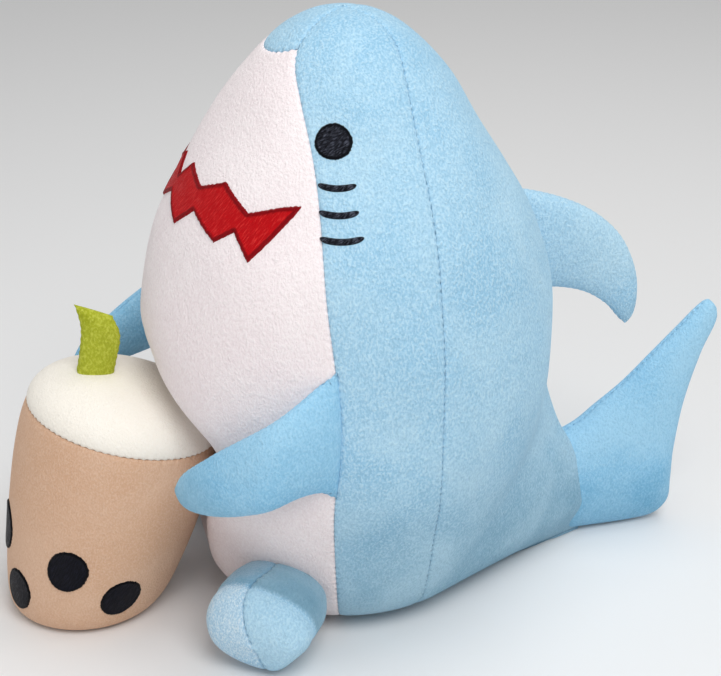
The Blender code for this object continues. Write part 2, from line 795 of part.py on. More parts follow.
def build_pearls(material, stand):
    for i, (angle, height) in enumerate(PEARLS):
        def where(aside, up, angle=angle, height=height):
            turn = radians(angle + degrees(aside / CUP_RADIUS))
            level = height + up
            drop = max(CUP_EDGE_ROUND - level, 0.0)
            radius = CUP_RADIUS - CUP_EDGE_ROUND
            radius += sqrt(max(CUP_EDGE_ROUND ** 2 - drop ** 2, 0.0)) + THREAD_LIFT
            return Vector((radius * sin(turn), -radius * cos(turn), level))
        embroidered_disc("pearl_%d" % (i + 1), PEARL_WIDTH, PEARL_HEIGHT, where, material, stand)


def build_straw(materials, stand):
    """A flat stuffed tube with pointed corners, sewn into the cream top, which bends at its foot."""
    share = STRAW_OFFSET / (CUP_RADIUS - 0.5)
    foot = CUP_WALL_HEIGHT + GAP + CUP_DOME_HEIGHT * sqrt(1 - share ** 2) + STRAW_CLEARANCE
    joint = place_joint_empty("straw_joint", 0.0, -STRAW_OFFSET, foot)
    joint.parent = stand
    half = STRAW_WIDTH / 2
    low = ((-half, 0.0), (-half - 1.0, STRAW_LENGTH * 0.5), (-half - 6.0, STRAW_LENGTH))
    high = ((half, 0.0), (half, STRAW_LENGTH * 0.45), (half - 6.5, STRAW_LENGTH * 0.86))

    def place(point, out):
        return Vector((out, point.x - STRAW_OFFSET, point.y + foot))

    def puff(along):
        return STRAW_THICKNESS / 2 * (1 - 0.35 * along)
    names = (("_left_panel", 1), ("_right_panel", -1))
    limb_panels("straw", edge_curves(low, high), puff, place, materials, names, joint, columns=4, rows=6)


clear_scene()
PARTS = bpy.data.collections.new("plush_shark")
bpy.context.scene.collection.children.link(PARTS)

blue_fabric = make_material("blue_fabric", SKY_BLUE, 0.9)
white_fabric = make_material("white_fabric", WHITE, 0.9)
tan_fabric = make_material("tan_fabric", TAN, 0.9)
cream_fabric = make_material("cream_fabric", CREAM, 0.9)
green_fabric = make_material("green_fabric", GREEN, 0.9)
red_thread = make_material("red_thread", RED, 0.55)
navy_thread = make_material("navy_thread", NAVY, 0.55)
fibre_filling = make_material("fibre_filling", FIBRE, 1.0)

build_body(white_fabric, blue_fabric, fibre_filling)
build_mouth(red_thread)
build_face(navy_thread)
blue_limb = (blue_fabric, fibre_filling)
build_flippers(blue_limb)
build_dorsal_fin(blue_limb)
build_tail_fin(blue_limb)
build_feet(blue_limb)
cup_stand = build_cup(tan_fabric, cream_fabric, fibre_filling, navy_thread)
build_straw((green_fabric, fibre_filling), cup_stand)
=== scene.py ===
import bmesh
import bpy
import numpy as np
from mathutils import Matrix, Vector


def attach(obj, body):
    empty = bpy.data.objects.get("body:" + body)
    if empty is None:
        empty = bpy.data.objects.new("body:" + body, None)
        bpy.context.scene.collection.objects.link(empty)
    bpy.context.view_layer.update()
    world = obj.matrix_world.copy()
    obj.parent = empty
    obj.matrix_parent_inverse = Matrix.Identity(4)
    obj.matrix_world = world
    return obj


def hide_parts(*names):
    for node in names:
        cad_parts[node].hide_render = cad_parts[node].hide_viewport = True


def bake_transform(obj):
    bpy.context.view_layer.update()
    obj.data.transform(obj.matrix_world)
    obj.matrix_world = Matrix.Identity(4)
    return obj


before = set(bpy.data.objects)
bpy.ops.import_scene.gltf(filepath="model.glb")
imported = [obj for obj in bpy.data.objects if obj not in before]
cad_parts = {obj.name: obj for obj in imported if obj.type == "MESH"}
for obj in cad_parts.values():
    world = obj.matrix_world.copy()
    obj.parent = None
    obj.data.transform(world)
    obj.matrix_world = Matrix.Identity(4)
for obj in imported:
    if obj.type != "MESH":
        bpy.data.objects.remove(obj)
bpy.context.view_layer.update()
MM = 0.001

# ---------------- body covers
# The body is a stuffed cone of short-pile velvet: a white belly panel, a blue snout cap above it, a
# blue band down each side and two blue back panels. They are sewn edge to edge with the seam
# allowance turned inside, so each seam is a narrow groove with a pucker at every stitch.

BODY_HEIGHT = 260.0
BODY_RADIUS = 90.5
BASE_RADIUS = 42.0
CROWN_HEIGHT = 261.5
# Outline from the base edge to the crown: share of the radius, share of the height
BODY_OUTLINE = (
    (0.55, 0.010), (0.64, 0.026), (0.72, 0.056), (0.785, 0.11), (0.865, 0.20), (0.95, 0.29), (1.0, 0.40),
    (0.985, 0.53), (0.90, 0.655), (0.77, 0.745), (0.615, 0.83), (0.47, 0.905), (0.315, 0.963), (0.165, 0.994),
)
# Seams: share of the body's height, angle from the front in degrees
SIDE_SEAM = ((0.0, 73.5), (0.25, 73.0), (0.45, 75.0), (0.62, 72.0), (0.75, 68.5), (0.83, 63.0),
             (0.90, 53.0), (0.96, 38.0), (1.0, 36.0))
BACK_SEAM = ((0.0, 108.5), (0.17, 105.5), (0.35, 102.5), (0.55, 102.8), (0.72, 105.2), (0.85, 109.6),
             (0.92, 116.0), (0.97, 126.0), (1.0, 132.0))
BELLY_TOP_HEIGHT = 246.0
BELLY_TOP_RISE = 4.0

# How far back the body reaches where it narrows into the tail: height, reach in millimetres
TAIL_NECK = ((0.0, 117.0), (25.0, 114.5), (50.0, 107.5), (64.0, 100.2), (80.0, 94.5), (92.0, 91.6),
             (104.0, 88.5), (125.0, 50.0), (150.0, -60.0))
TAIL_NECK_BLEND = 3.0
LEAST_NECK = 0.01
TAIL_NECK_ANGLE = 5.0
TAIL_HEEL_ANGLE = 0.8
TAIL_HEEL_HEIGHT = 22.0

# The cup that leans on the belly, and the hollow it presses there
CUP_RADIUS = 43.0
CUP_WALL_HEIGHT = 84.0
CUP_DOME_HEIGHT = 20.0
CUP_LEAN = np.radians(15.0)
CUP_BASE_REACH = 121.0
CUP_CLEARANCE = 2.5
CUP_HOLLOW_RISE = 1.9
CUP_HOLLOW_SPREAD = 1.4
HOLLOW_SIDE_ANGLE = 60.0
HOLLOW_END_ANGLE = 80.0
BELLY_SOFTNESS = 5.0

STITCH_PITCH = 3.3
SEAM_DEPTH = 0.95
SEAM_WIDTH = 0.9
STITCH_PUCKER = 0.45
SEAM_ALLOWANCE = 1.8
ALLOWANCE_SLANT = 0.3
FLOOR_CLEARANCE = 0.2
LUMP_HEIGHT = 0.35
LUMP_TURNS = (2, 3, 3, 4, 5, 6, 7, 9)
LUMP_WAVES = (45.0, 130.0)
LUMP_FADE = 40.0
LUMP_SEED = 11
SKIN_STEP_ANGLE = 0.4
SKIN_STEP = 0.7
WELD_DISTANCE = 1e-7

SIDES = (("left", 1), ("right", -1))


def curve_through(knots, x):
    """Values at x of a smooth curve through (x, value) knots in rising order of x."""
    places, values = np.array(knots, float).T
    slopes = np.empty_like(values)
    slopes[1:-1] = (values[2:] - values[:-2]) / (places[2:] - places[:-2])
    slopes[0] = (values[1] - values[0]) / (places[1] - places[0])
    slopes[-1] = (values[-1] - values[-2]) / (places[-1] - places[-2])
    i = np.clip(np.searchsorted(places, x) - 1, 0, len(places) - 2)
    span = places[i + 1] - places[i]
    t = np.clip((x - places[i]) / span, 0.0, 1.0)
    return (values[i] * (2 * t ** 3 - 3 * t ** 2 + 1) + slopes[i] * span * (t ** 3 - 2 * t ** 2 + t)
            + values[i + 1] * (3 * t ** 2 - 2 * t ** 3) + slopes[i + 1] * span * (t ** 3 - t ** 2))


def smooth_step(x):
    t = np.clip(x, 0.0, 1.0)
    return t * t * (3 - 2 * t)


def body_outline(samples=1601):
    """Radii, heights and lengths along the outline from the base edge to the crown."""
    radii = [BASE_RADIUS] + [share * BODY_RADIUS for share, _ in BODY_OUTLINE] + [0.0]
    heights = [0.0] + [share * BODY_HEIGHT for _, share in BODY_OUTLINE] + [CROWN_HEIGHT]
    even = np.linspace(0, 1, len(radii))
    fine = np.linspace(0, 1, samples)
    radius = curve_through(list(zip(even, radii)), fine)
    height = curve_through(list(zip(even, heights)), fine)
    steps = np.hypot(np.diff(radius), np.diff(height))
    return radius, height, np.concatenate([[0.0], np.cumsum(steps)])


OUTLINE_RADII, OUTLINE_HEIGHTS, OUTLINE_LENGTHS = body_outline()
CROWN = OUTLINE_LENGTHS[-1]


def height_at(along):
    return np.interp(along, OUTLINE_LENGTHS, OUTLINE_HEIGHTS)


def way_up(height):
    """Length along the outline, from the base edge, at which it reaches a height."""
    return np.interp(height, OUTLINE_HEIGHTS, OUTLINE_LENGTHS)


def cup_hollow(angle, height):
    """How far the belly may reach before it would press into the leaning cup."""
    reach = CUP_BASE_REACH - height * np.tan(CUP_LEAN)
    rise = (height - CUP_WALL_HEIGHT) / (CUP_DOME_HEIGHT * CUP_HOLLOW_RISE)
    full_room = CUP_RADIUS / np.cos(CUP_LEAN) + CUP_CLEARANCE
    aside = reach * np.sin(np.radians(angle))
    room = full_room * (1 - smooth_step(rise))
    limit = reach * np.cos(np.radians(angle)) - room + aside ** 2 / (CUP_HOLLOW_SPREAD * full_room)
    past_side = np.maximum(np.abs(angle) - HOLLOW_SIDE_ANGLE, 0.0)
    limit = limit + full_room * np.maximum(rise - 1, 0.0) + past_side
    return np.where(np.abs(angle) > HOLLOW_END_ANGLE, 2 * BODY_RADIUS, limit)


def stuffing_lumps(angle, along):
    """Soft unevenness of the stuffing under the covers, which dies away at the crown and the base."""
    chance = np.random.default_rng(LUMP_SEED)
    lumps = 0.0
    for turns in LUMP_TURNS:
        start, shift = chance.uniform(0, 2 * np.pi, 2)
        wave = chance.uniform(*LUMP_WAVES)
        lumps = lumps + np.cos(turns * np.radians(angle) + start) * np.cos(2 * np.pi * along / wave + shift)
    height = height_at(along)
    ends = smooth_step(height / LUMP_FADE) * smooth_step((BODY_HEIGHT - height) / LUMP_FADE)
    return LUMP_HEIGHT * lumps * ends


def body_radius(angle, along):
    """The covers' distance from the upright axis: the outline, the tail's neck and the cup's hollow."""
    radius = np.interp(along, OUTLINE_LENGTHS, OUTLINE_RADII)
    height = height_at(along)
    above_heel = smooth_step(height / TAIL_HEEL_HEIGHT)
    neck_angle = TAIL_HEEL_ANGLE + (TAIL_NECK_ANGLE - TAIL_HEEL_ANGLE) * above_heel
    off_back = np.radians(np.maximum(180.0 - np.abs(angle) - neck_angle, 0.0))
    beyond = (curve_through(TAIL_NECK, height) - radius) / TAIL_NECK_BLEND
    reach = radius + TAIL_NECK_BLEND * np.logaddexp(0.0, beyond) + LEAST_NECK
    leaves_at = np.arccos(np.clip(radius / reach, 0.0, 1.0))
    neck = radius / np.cos(np.maximum(leaves_at - off_back, 0.0))
    radius = neck + stuffing_lumps(angle, along)
    pressed = np.exp(-radius / BELLY_SOFTNESS) + np.exp(-cup_hollow(angle, height) / BELLY_SOFTNESS)
    return -BELLY_SOFTNESS * np.log(pressed)


def on_body(angle, along):
    radius = body_radius(angle, along)
    turn = np.radians(angle)
    return np.stack([radius * np.sin(turn), -radius * np.cos(turn), height_at(along) + 0 * radius], -1)


def unit(vectors):
    length = np.linalg.norm(vectors, axis=-1, keepdims=True)
    return vectors / np.maximum(length, 1e-9)


def above_body(angle, along, lift):
    """Points at a distance above the body's skin, measured along its normal."""
    round_way = on_body(angle + SKIN_STEP_ANGLE, along) - on_body(angle - SKIN_STEP_ANGLE, along)
    higher = on_body(angle, np.minimum(along + SKIN_STEP, CROWN))
    lower = on_body(angle, np.maximum(along - SKIN_STEP, 0.0))
    outward = unit(np.cross(round_way, higher - lower))
    return on_body(angle, along) + outward * np.asarray(lift)[..., None]


def normals(points):
    """Outward directions of a panel whose columns run round and whose rows run up, seen from outside."""
    return unit(np.cross(np.gradient(points, axis=1), np.gradient(points, axis=0)))


def run_lengths(points, axis):
    steps = np.linalg.norm(np.diff(points, axis=axis), axis=-1)
    start = np.zeros_like(np.take(steps, [0], axis=axis))
    return np.concatenate([start, np.cumsum(steps, axis=axis)], axis=axis)


def seam_lift(points, first=True, last=True, low=False, high=False, depth=SEAM_DEPTH):
    """How far each point of a panel is drawn in by its sewn edges: a groove, deeper at every stitch."""
    lift = np.zeros(points.shape[:2])
    for sewn, axis, edge in ((first, 1, 0), (last, 1, -1), (low, 0, 0), (high, 0, -1)):
        if not sewn:
            continue
        distance = run_lengths(points, axis)
        if edge:
            distance = np.take(distance, [-1], axis=axis) - distance
        along = np.take(run_lengths(points, 1 - axis), [edge], axis=axis)
        pucker = 1 + STITCH_PUCKER * np.cos(2 * np.pi * along / STITCH_PITCH)
        lift -= depth * pucker * np.exp(-distance / SEAM_WIDTH)
    return lift


def tuck_edges(points, first=True, last=True, low=False, high=False, allowance=SEAM_ALLOWANCE):
    """Adds the seam allowance: a strip past each sewn edge, turned in under the neighbour's cover."""
    for sewn, axis, edge, beside in ((first, 1, 0, 1), (last, 1, -1, -2), (low, 0, 0, 1), (high, 0, -1, -2)):
        if not sewn:
            continue
        rim = np.take(points, [edge], axis=axis)
        past = unit(rim - np.take(points, [beside], axis=axis)) * ALLOWANCE_SLANT
        strip = rim + (past - np.take(normals(points), [beside], axis=axis)) * allowance
        strip[..., 2] = np.maximum(strip[..., 2], FLOOR_CLEARANCE)
        points = np.concatenate([strip, points] if edge == 0 else [points, strip], axis=axis)
    return points


def sew_cover(name, points, material, **drawn):
    """Turns a grid of points in millimetres into a smooth mesh, with what is drawn on it kept by name."""
    rows, columns = points.shape[:2]
    index = np.arange(rows * columns).reshape(rows, columns)
    faces = np.stack([index[:-1, :-1], index[:-1, 1:], index[1:, 1:], index[1:, :-1]], -1).reshape(-1, 4)
    mesh = bpy.data.meshes.new(name)
    mesh.from_pydata((points.reshape(-1, 3) * MM).tolist(), [], faces.tolist())
    for label, values in drawn.items():
        flat = values.ndim > 2
        kept = mesh.attributes.new(label, "FLOAT2" if flat else "FLOAT", "POINT")
        kept.data.foreach_set("vector" if flat else "value", values.astype(np.float32).ravel())
    work = bmesh.new()
    work.from_mesh(mesh)
    bmesh.ops.remove_doubles(work, verts=work.verts, dist=WELD_DISTANCE)
    work.to_mesh(mesh)
    work.free()
    mesh.shade_smooth()
    mesh.materials.append(material)
    cover = bpy.data.objects.new(name, mesh)
    bpy.context.scene.collection.objects.link(cover)
    return cover


def colour(red, green, blue):
    """A paint-box colour from 0 to 255 as the linear values that a shader takes."""
    share = np.array([red, green, blue]) / 255.0
    linear = np.where(share <= 0.04045, share / 12.92, ((share + 0.055) / 1.055) ** 2.4)
    return (*linear.tolist(), 1.0)


def add_node(tree, kind, values=None, **settings):
    """A shader node with its settings, and its sockets joined to other sockets or set to values."""
    made = tree.nodes.new("ShaderNode" + kind)
    for key, value in settings.items():
        setattr(made, key, value)
    for socket, value in (values or {}).items():
        if isinstance(value, bpy.types.NodeSocket):
            tree.links.new(value, made.inputs[socket])
        else:
            made.inputs[socket].default_value = value
    return made


def new_group(name, inputs, outputs):
    """An empty shader group with named sockets, its input node and its output node."""
    tree = bpy.data.node_groups.new(name, "ShaderNodeTree")
    for direction, sockets in (("INPUT", inputs), ("OUTPUT", outputs)):
        for label, kind in sockets:
            tree.interface.new_socket(label, in_out=direction, socket_type=kind)
    return tree, tree.nodes.new("NodeGroupInput"), tree.nodes.new("NodeGroupOutput")


FLOAT, PAINT = "NodeSocketFloat", "NodeSocketColor"


def times(tree, first, second, clamp=False):
    return add_node(tree, "Math", {0: first, 1: second}, operation="MULTIPLY",
                    use_clamp=clamp).outputs[0]


def over(tree, share, under, upper):
    """One colour laid over another by a share from 0 to 1."""
    return add_node(tree, "Mix", {"Factor": share, 6: under, 7: upper},
                    data_type="RGBA").outputs[2]


def remap(tree, value, low, high, to_low=0.0, to_high=1.0):
    """A value's run from low to high, stretched to another run and stopped at its ends."""
    return add_node(tree, "MapRange", {
        "Value": value, "From Min": low, "From Max": high, "To Min": to_low, "To Max": to_high}).outputs[0]


def noise(tree, place, scale, detail, roughness, distortion=0.0):
    return add_node(tree, "TexNoise", {
        "Vector": place, "Scale": scale, "Detail": detail, "Roughness": roughness,
        "Distortion": distortion}).outputs["Fac"]


def give_results(tree, result, paint, roughness, height):
    for label, value in (("Colour", paint), ("Roughness", roughness), ("Height", height)):
        tree.links.new(value, result.inputs[label])


def make_pile_group():
    """Short velvet pile: leaning fibre tips that catch the light, clumps, brushed patches, and painted light
    and shade.

    A cover's painted shading is positive for painted light, towards the tip colour, and negative for painted
    shade, towards the shadow colour.
    """
    tree, given, result = new_group(
        "velvet_pile",
        (("Colour", PAINT), ("Tip Colour", PAINT), ("Shadow Colour", PAINT), ("Fibre Size", FLOAT),
         ("Speckle", FLOAT), ("Brushing", FLOAT)),
        (("Colour", PAINT), ("Roughness", FLOAT), ("Height", FLOAT)),
    )
    place = add_node(tree, "TexCoord").outputs["Object"]
    lean = add_node(tree, "Mapping", {
        "Vector": place, "Rotation": (0.5, 0.75, 0.35), "Scale": (1000.0, 1000.0, 700.0)})
    finer = add_node(tree, "Math", {0: 1.0, 1: given.outputs["Fibre Size"]}, operation="DIVIDE")
    fibres = add_node(tree, "VectorMath", {
        0: lean.outputs["Vector"], "Scale": finer.outputs[0]}, operation="SCALE").outputs[0]
    tips = noise(tree, fibres, 1.0, 2.0, 0.6)
    clumps = noise(tree, fibres, 0.24, 2.0, 0.55)
    brushed = noise(tree, place, 26.0, 3.0, 0.55, 0.5)
    # Painted light and shade: a signed attribute mixes towards the tip colour where positive and towards the
    # shadow colour where negative.
    nap = add_node(tree, "Attribute", attribute_name="nap").outputs["Fac"]
    painted_shade_share = times(tree, nap, -1.0, clamp=True)
    painted_light_share = times(tree, nap, 1.0, clamp=True)
    seen = add_node(tree, "Math", {0: 1.0, 1: painted_shade_share}, operation="SUBTRACT", use_clamp=True)
    speckle, tip, shadow = (given.outputs[label] for label in ("Speckle", "Tip Colour", "Shadow Colour"))
    lit_share = times(tree, times(tree, remap(tree, tips, 0.47, 0.66), seen.outputs[0]), speckle)
    dull_share = times(tree, remap(tree, tips, 0.5, 0.32), times(tree, speckle, 0.3))
    patch_share = times(tree, remap(tree, brushed, 0.35, 0.68), given.outputs["Brushing"])
    paint = over(tree, painted_shade_share, given.outputs["Colour"], shadow)
    for share, laid in ((painted_light_share, tip), (patch_share, tip), (dull_share, shadow), (lit_share, tip)):
        paint = over(tree, share, paint, laid)
    raised = add_node(tree, "Math", {0: clumps, 1: 0.8, 2: tips}, operation="MULTIPLY_ADD")
    give_results(tree, result, paint, remap(tree, clumps, 0.3, 0.7, 0.78, 0.98), raised.outputs[0])
    return tree


PILE = make_pile_group()


def cloth(name, group, sockets, bump_strength, relief, gloss):
    """A material whose colour, roughness and relief come from a shader group, and its main shader."""
    material = bpy.data.materials.new(name)
    material.use_nodes = True
    tree = material.node_tree
    shader = tree.nodes["Principled BSDF"]
    surface = add_node(tree, "Group", sockets, node_tree=group)
    bump = add_node(tree, "Bump", {
        "Strength": bump_strength, "Distance": relief, "Height": surface.outputs["Height"]})
    tree.links.new(surface.outputs["Colour"], shader.inputs["Base Color"])
    tree.links.new(surface.outputs["Roughness"], shader.inputs["Roughness"])
    tree.links.new(bump.outputs["Normal"], shader.inputs["Normal"])
    shader.inputs["Specular IOR Level"].default_value = gloss
    return material, shader


def velvet(name, body, tip, shadow, fibre_size, speckle, brushing, sheen, relief=0.0006):
    """A cover material of short pile, with a soft sheen where it is seen at a slant."""
    sockets = {"Colour": body, "Tip Colour": tip, "Shadow Colour": shadow, "Fibre Size": fibre_size,
               "Speckle": speckle, "Brushing": brushing}
    material, shader = cloth(name, PILE, sockets, bump_strength=0.7, relief=relief, gloss=0.2)
    shader.inputs["Sheen Weight"].default_value = sheen
    shader.inputs["Sheen Roughness"].default_value = 0.45
    shader.inputs["Sheen Tint"].default_value = tip
    return material


SKY = colour(156, 203, 232)
SKY_TIP = colour(204, 234, 248)
SKY_SHADOW = colour(104, 146, 168)
DEEP_SKY = colour(134, 194, 230)
DEEP_SKY_TIP = colour(178, 222, 246)
DEEP_SKY_SHADOW = colour(76, 140, 172)
SNOW = colour(246, 234, 236)
SNOW_TIP = colour(255, 250, 250)
SNOW_SHADOW = colour(206, 188, 188)

blue_velvet = velvet("blue_velvet", SKY, SKY_TIP, SKY_SHADOW, fibre_size=0.95, speckle=0.6,
                     brushing=0.4, sheen=0.3, relief=0.0012)
deep_blue_velvet = velvet("deep_blue_velvet", DEEP_SKY, DEEP_SKY_TIP, DEEP_SKY_SHADOW, fibre_size=0.95,
                          speckle=0.5, brushing=0.6, sheen=0.3, relief=0.001)
white_velvet = velvet("white_velvet", SNOW, SNOW_TIP, SNOW_SHADOW, fibre_size=0.95, speckle=0.4,
                      brushing=0.35, sheen=0.25, relief=0.0009)


def crowd_edges(count, share=0.72):
    """Even steps from 0 to 1, drawn closer together near both ends."""
    even = np.linspace(0.0, 1.0, count + 1)
    return even * (1 - share) + (0.5 - 0.5 * np.cos(np.pi * even)) * share


def seam_angle(seam, along):
    return curve_through(seam, height_at(along) / BODY_HEIGHT)


def body_panel(left_edge, right_edge, bottom, top, columns, rows, **sewn):
    """A body cover between two seam angles and from a low to a high edge, drawn in along its seams."""
    across = crowd_edges(columns)[None, :]
    up = crowd_edges(rows, 0.3)[:, None]
    along = bottom(across) + (top(across) - bottom(across)) * up
    left = left_edge(along)
    angle = left + (right_edge(along) - left) * across
    points = above_body(angle, along, seam_lift(on_body(angle, along), **sewn))
    return tuck_edges(points, **sewn)


def base_edge(across):
    return 0.0 * across


def crown(across):
    return 0.0 * across + CROWN


def belly_top(across):
    return way_up(BELLY_TOP_HEIGHT + BELLY_TOP_RISE * (2 * across - 1) ** 2)


def seam_edge(seam, sign=1):
    """A panel's edge along a seam of the shark's left (+1) or right (-1) side."""
    def edge(along):
        return sign * seam_angle(seam, along)
    return edge


def centre_back(along):
    return 180.0 + 0.0 * along


def mirrored(points, sign):
    """The same panel on the shark's left (+1) or right (-1) side, still facing out."""
    return points if sign > 0 else points[:, ::-1] * (-1.0, 1.0, 1.0)


front_left = seam_edge(SIDE_SEAM)
front_right = seam_edge(SIDE_SEAM, -1)
back_left = seam_edge(BACK_SEAM)

# Painted shade darkens the body covers from this height down to the base, by up to this share.
BASE_SHADE_HEIGHT = 105.0
BASE_SHADE = 0.75


def body_nap(points):
    """Painted shade, deepening towards the base."""
    return -BASE_SHADE * smooth_step(1 - points[..., 2] / BASE_SHADE_HEIGHT)


def finish_cover(nodes):
    """Hides the model's solids that a cover stands for."""
    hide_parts(*nodes)


def finish_body_cover(name, points, material, paint_slot, *nodes):
    cover = sew_cover(name, points, material, nap=body_nap(points))
    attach(cover, "body")
    finish_cover(nodes)


belly = body_panel(front_right, front_left, base_edge, belly_top, columns=150, rows=420, low=True, high=True)
finish_body_cover("belly_cover", belly, white_velvet, "white_plush", "front_panel", "body_filling")

snout = body_panel(front_right, front_left, belly_top, crown, columns=110, rows=60, low=True)
finish_body_cover("snout_cover", snout, blue_velvet, "blue_plush", "snout_panel")

side_band = body_panel(front_left, back_left, base_edge, crown, columns=48, rows=460, low=True)
back_half = body_panel(back_left, centre_back, base_edge, crown, columns=96, rows=460, low=True)
for side, sign in SIDES:
    finish_body_cover("side_cover_" + side, mirrored(side_band, sign), blue_velvet, "blue_plush",
                      "side_panel_" + side)
    finish_body_cover("back_cover_" + side, mirrored(back_half, sign), blue_velvet, "blue_plush",
                      "back_panel_" + side)


# ---------------- base cover
# A flat panel of the same blue velvet closes the body underneath. It is cut to the outline of the
# covers' lower edge and sewn to them, and the toy sits on it.

BASE_INSET = 1.3
BASE_RINGS = 40
BASE_STEPS = 360

ring_share = crowd_edges(BASE_RINGS, 0.5)[:, None]
base_angle = np.linspace(180.0, -180.0, BASE_STEPS + 1)[None, :]
base_rim = on_body(base_angle, 0.0 * base_angle)[0]
base_reach = np.linalg.norm(base_rim, axis=-1, keepdims=True)
base = base_rim * (1 - BASE_INSET / base_reach) * ring_share[..., None]
base[..., 2] = -seam_lift(base, first=False, last=False, high=True)
base = tuck_edges(base, first=False, last=False, high=True)
finish_body_cover("base_cover", base, blue_velvet, "blue_plush", "base_panel")


# ---------------- embroidered mouth
# A zigzag patch of red satin stitch worked on the belly panel. Its threads lie on the slant, and a
# darker, slightly raised cord of stitches runs round its edge.

MOUTH_HALF_ANGLE = 62.5
MOUTH_HEIGHT = 190.0
MOUTH_LIFT = 0.15
MOUTH_THICKNESS = 1.0
MOUTH_CORD_WIDTH = 1.9
MOUTH_CORD_RISE = 0.35
# For the drawing of the threads, the patch is laid flat at the belly's radius there
MOUTH_RADIUS = 66.0
MOUTH_ROWS = 26
MOUTH_RUN_COLUMNS = 16
# How far a patch's edge is sunk in the pile, and how wide its rounded shoulder is
PATCH_SINK = 0.6
PATCH_SHOULDER = 0.9
CORD_CORE = 0.7
CORD_SOFTNESS = 0.35
STITCH_END_SPREAD = 0.22
STITCH_END_FADE = 5
STITCH_SEED = 5
# From the centre line to a corner: share of the half angle, height from the middle in millimetres
MOUTH_TOP = ((0.0, 5.5), (0.11, 12.7), (0.31, 7.4), (0.50, 12.0), (0.70, 3.5), (0.90, 7.4), (1.0, 8.2))
MOUTH_BOTTOM = ((0.0, -1.7), (0.215, -9.5), (0.345, -1.7), (0.55, -9.5), (0.65, -4.3), (0.766, -13.4),
                (1.0, 8.2))


def make_thread_group():
    """Satin stitch: parallel threads along one direction, with painted highlights on some strands."""
    tree, given, result = new_group(
        "satin_thread",
        (("Colour", PAINT), ("Glint Colour", PAINT), ("Cord Colour", PAINT), ("Thread Width", FLOAT),
         ("Direction", FLOAT), ("Glints", FLOAT)),
        (("Colour", PAINT), ("Roughness", FLOAT), ("Height", FLOAT)),
    )
    lay = add_node(tree, "Attribute", attribute_name="lay").outputs["Vector"]
    turned = add_node(tree, "VectorRotate", {
        "Vector": lay, "Angle": given.outputs["Direction"]}, rotation_type="Z_AXIS")
    finer = add_node(tree, "Math", {0: 1.0, 1: given.outputs["Thread Width"]}, operation="DIVIDE")
    scaled = add_node(tree, "VectorMath", {
        0: turned.outputs[0], "Scale": finer.outputs[0]}, operation="SCALE").outputs[0]
    long_way = add_node(tree, "Mapping", {"Vector": scaled, "Scale": (1.0, 0.14, 1.0)})
    strands = noise(tree, long_way.outputs[0], 0.9, 2.0, 0.7)
    rows = add_node(tree, "TexWave", {
        "Vector": scaled, "Scale": 0.32, "Distortion": 0.6, "Detail": 1.0, "Detail Scale": 0.4})
    # Painted highlights: the glint colour is laid on some strands.
    glint_share = times(tree, remap(tree, strands, 0.5, 0.72), given.outputs["Glints"])
    filled = over(tree, glint_share, given.outputs["Colour"], given.outputs["Glint Colour"])
    edge = add_node(tree, "Attribute", attribute_name="cord").outputs["Fac"]
    edged = over(tree, edge, filled, given.outputs["Cord Colour"])
    raised = add_node(tree, "Math", {
        0: rows.outputs["Fac"], 1: 0.6, 2: strands}, operation="MULTIPLY_ADD")
    give_results(tree, result, edged, remap(tree, strands, 0.3, 0.7, 0.6, 0.35), raised.outputs[0])
    return tree


THREAD = make_thread_group()


def satin(name, body, glint, cord, width, direction, glints):
    """An embroidery material whose threads follow the patch's own drawing."""
    sockets = {"Colour": body, "Glint Colour": glint, "Cord Colour": cord, "Thread Width": width,
               "Direction": direction, "Glints": glints}
    return cloth(name, THREAD, sockets, bump_strength=0.9, relief=0.0006, gloss=0.15)[0]


red_satin = satin("red_satin", colour(214, 8, 20), colour(252, 66, 62), colour(150, 2, 14),
                  width=0.5, direction=0.5, glints=0.8)


def distance_to_outline(flat, outline):
    """Distance from flat points to a closed outline of straight runs."""
    nearest = np.full(flat.shape[:-1], 1e9)
    for start, end in zip(outline, np.roll(outline, -1, axis=0)):
        run = end - start
        t = np.clip(((flat - start) @ run) / max(run @ run, 1e-9), 0.0, 1.0)
        nearest = np.minimum(nearest, np.linalg.norm(flat - start - t[..., None] * run, axis=-1))
    return nearest


def cord_share(distance, width):
    """How much a point of a patch belongs to the cord of stitches round its edge."""
    return 1 - smooth_step((distance - width * CORD_CORE) / (width * (1 - CORD_CORE)))


def patch_rise(distance, thickness, cord_width, cord_rise):
    """Height of a stitched patch above the cloth at a distance from its edge."""
    body = thickness * np.sqrt(1 - (1 - np.clip(distance / PATCH_SHOULDER, 0.0, 1.0)) ** 2)
    off_cord = (distance - cord_width / 2) / (cord_width * CORD_SOFTNESS)
    return body + cord_rise * np.exp(-off_cord ** 2)


def mouth_shares():
    """Columns of the mouth: every corner of the zigzag, with even steps between."""
    corners = sorted({share for share, _ in MOUTH_TOP + MOUTH_BOTTOM})
    runs = [np.linspace(a, b, MOUTH_RUN_COLUMNS, endpoint=False) for a, b in zip(corners, corners[1:])]
    half = np.concatenate(runs + [[1.0]])
    return np.concatenate([-half[:0:-1], half])


def uneven_ends(count):
    """Each stitch of an edge ends a little short of its outline or a little past it."""
    return STITCH_END_SPREAD * np.random.default_rng(STITCH_SEED).uniform(-1, 1, count)[None, :]


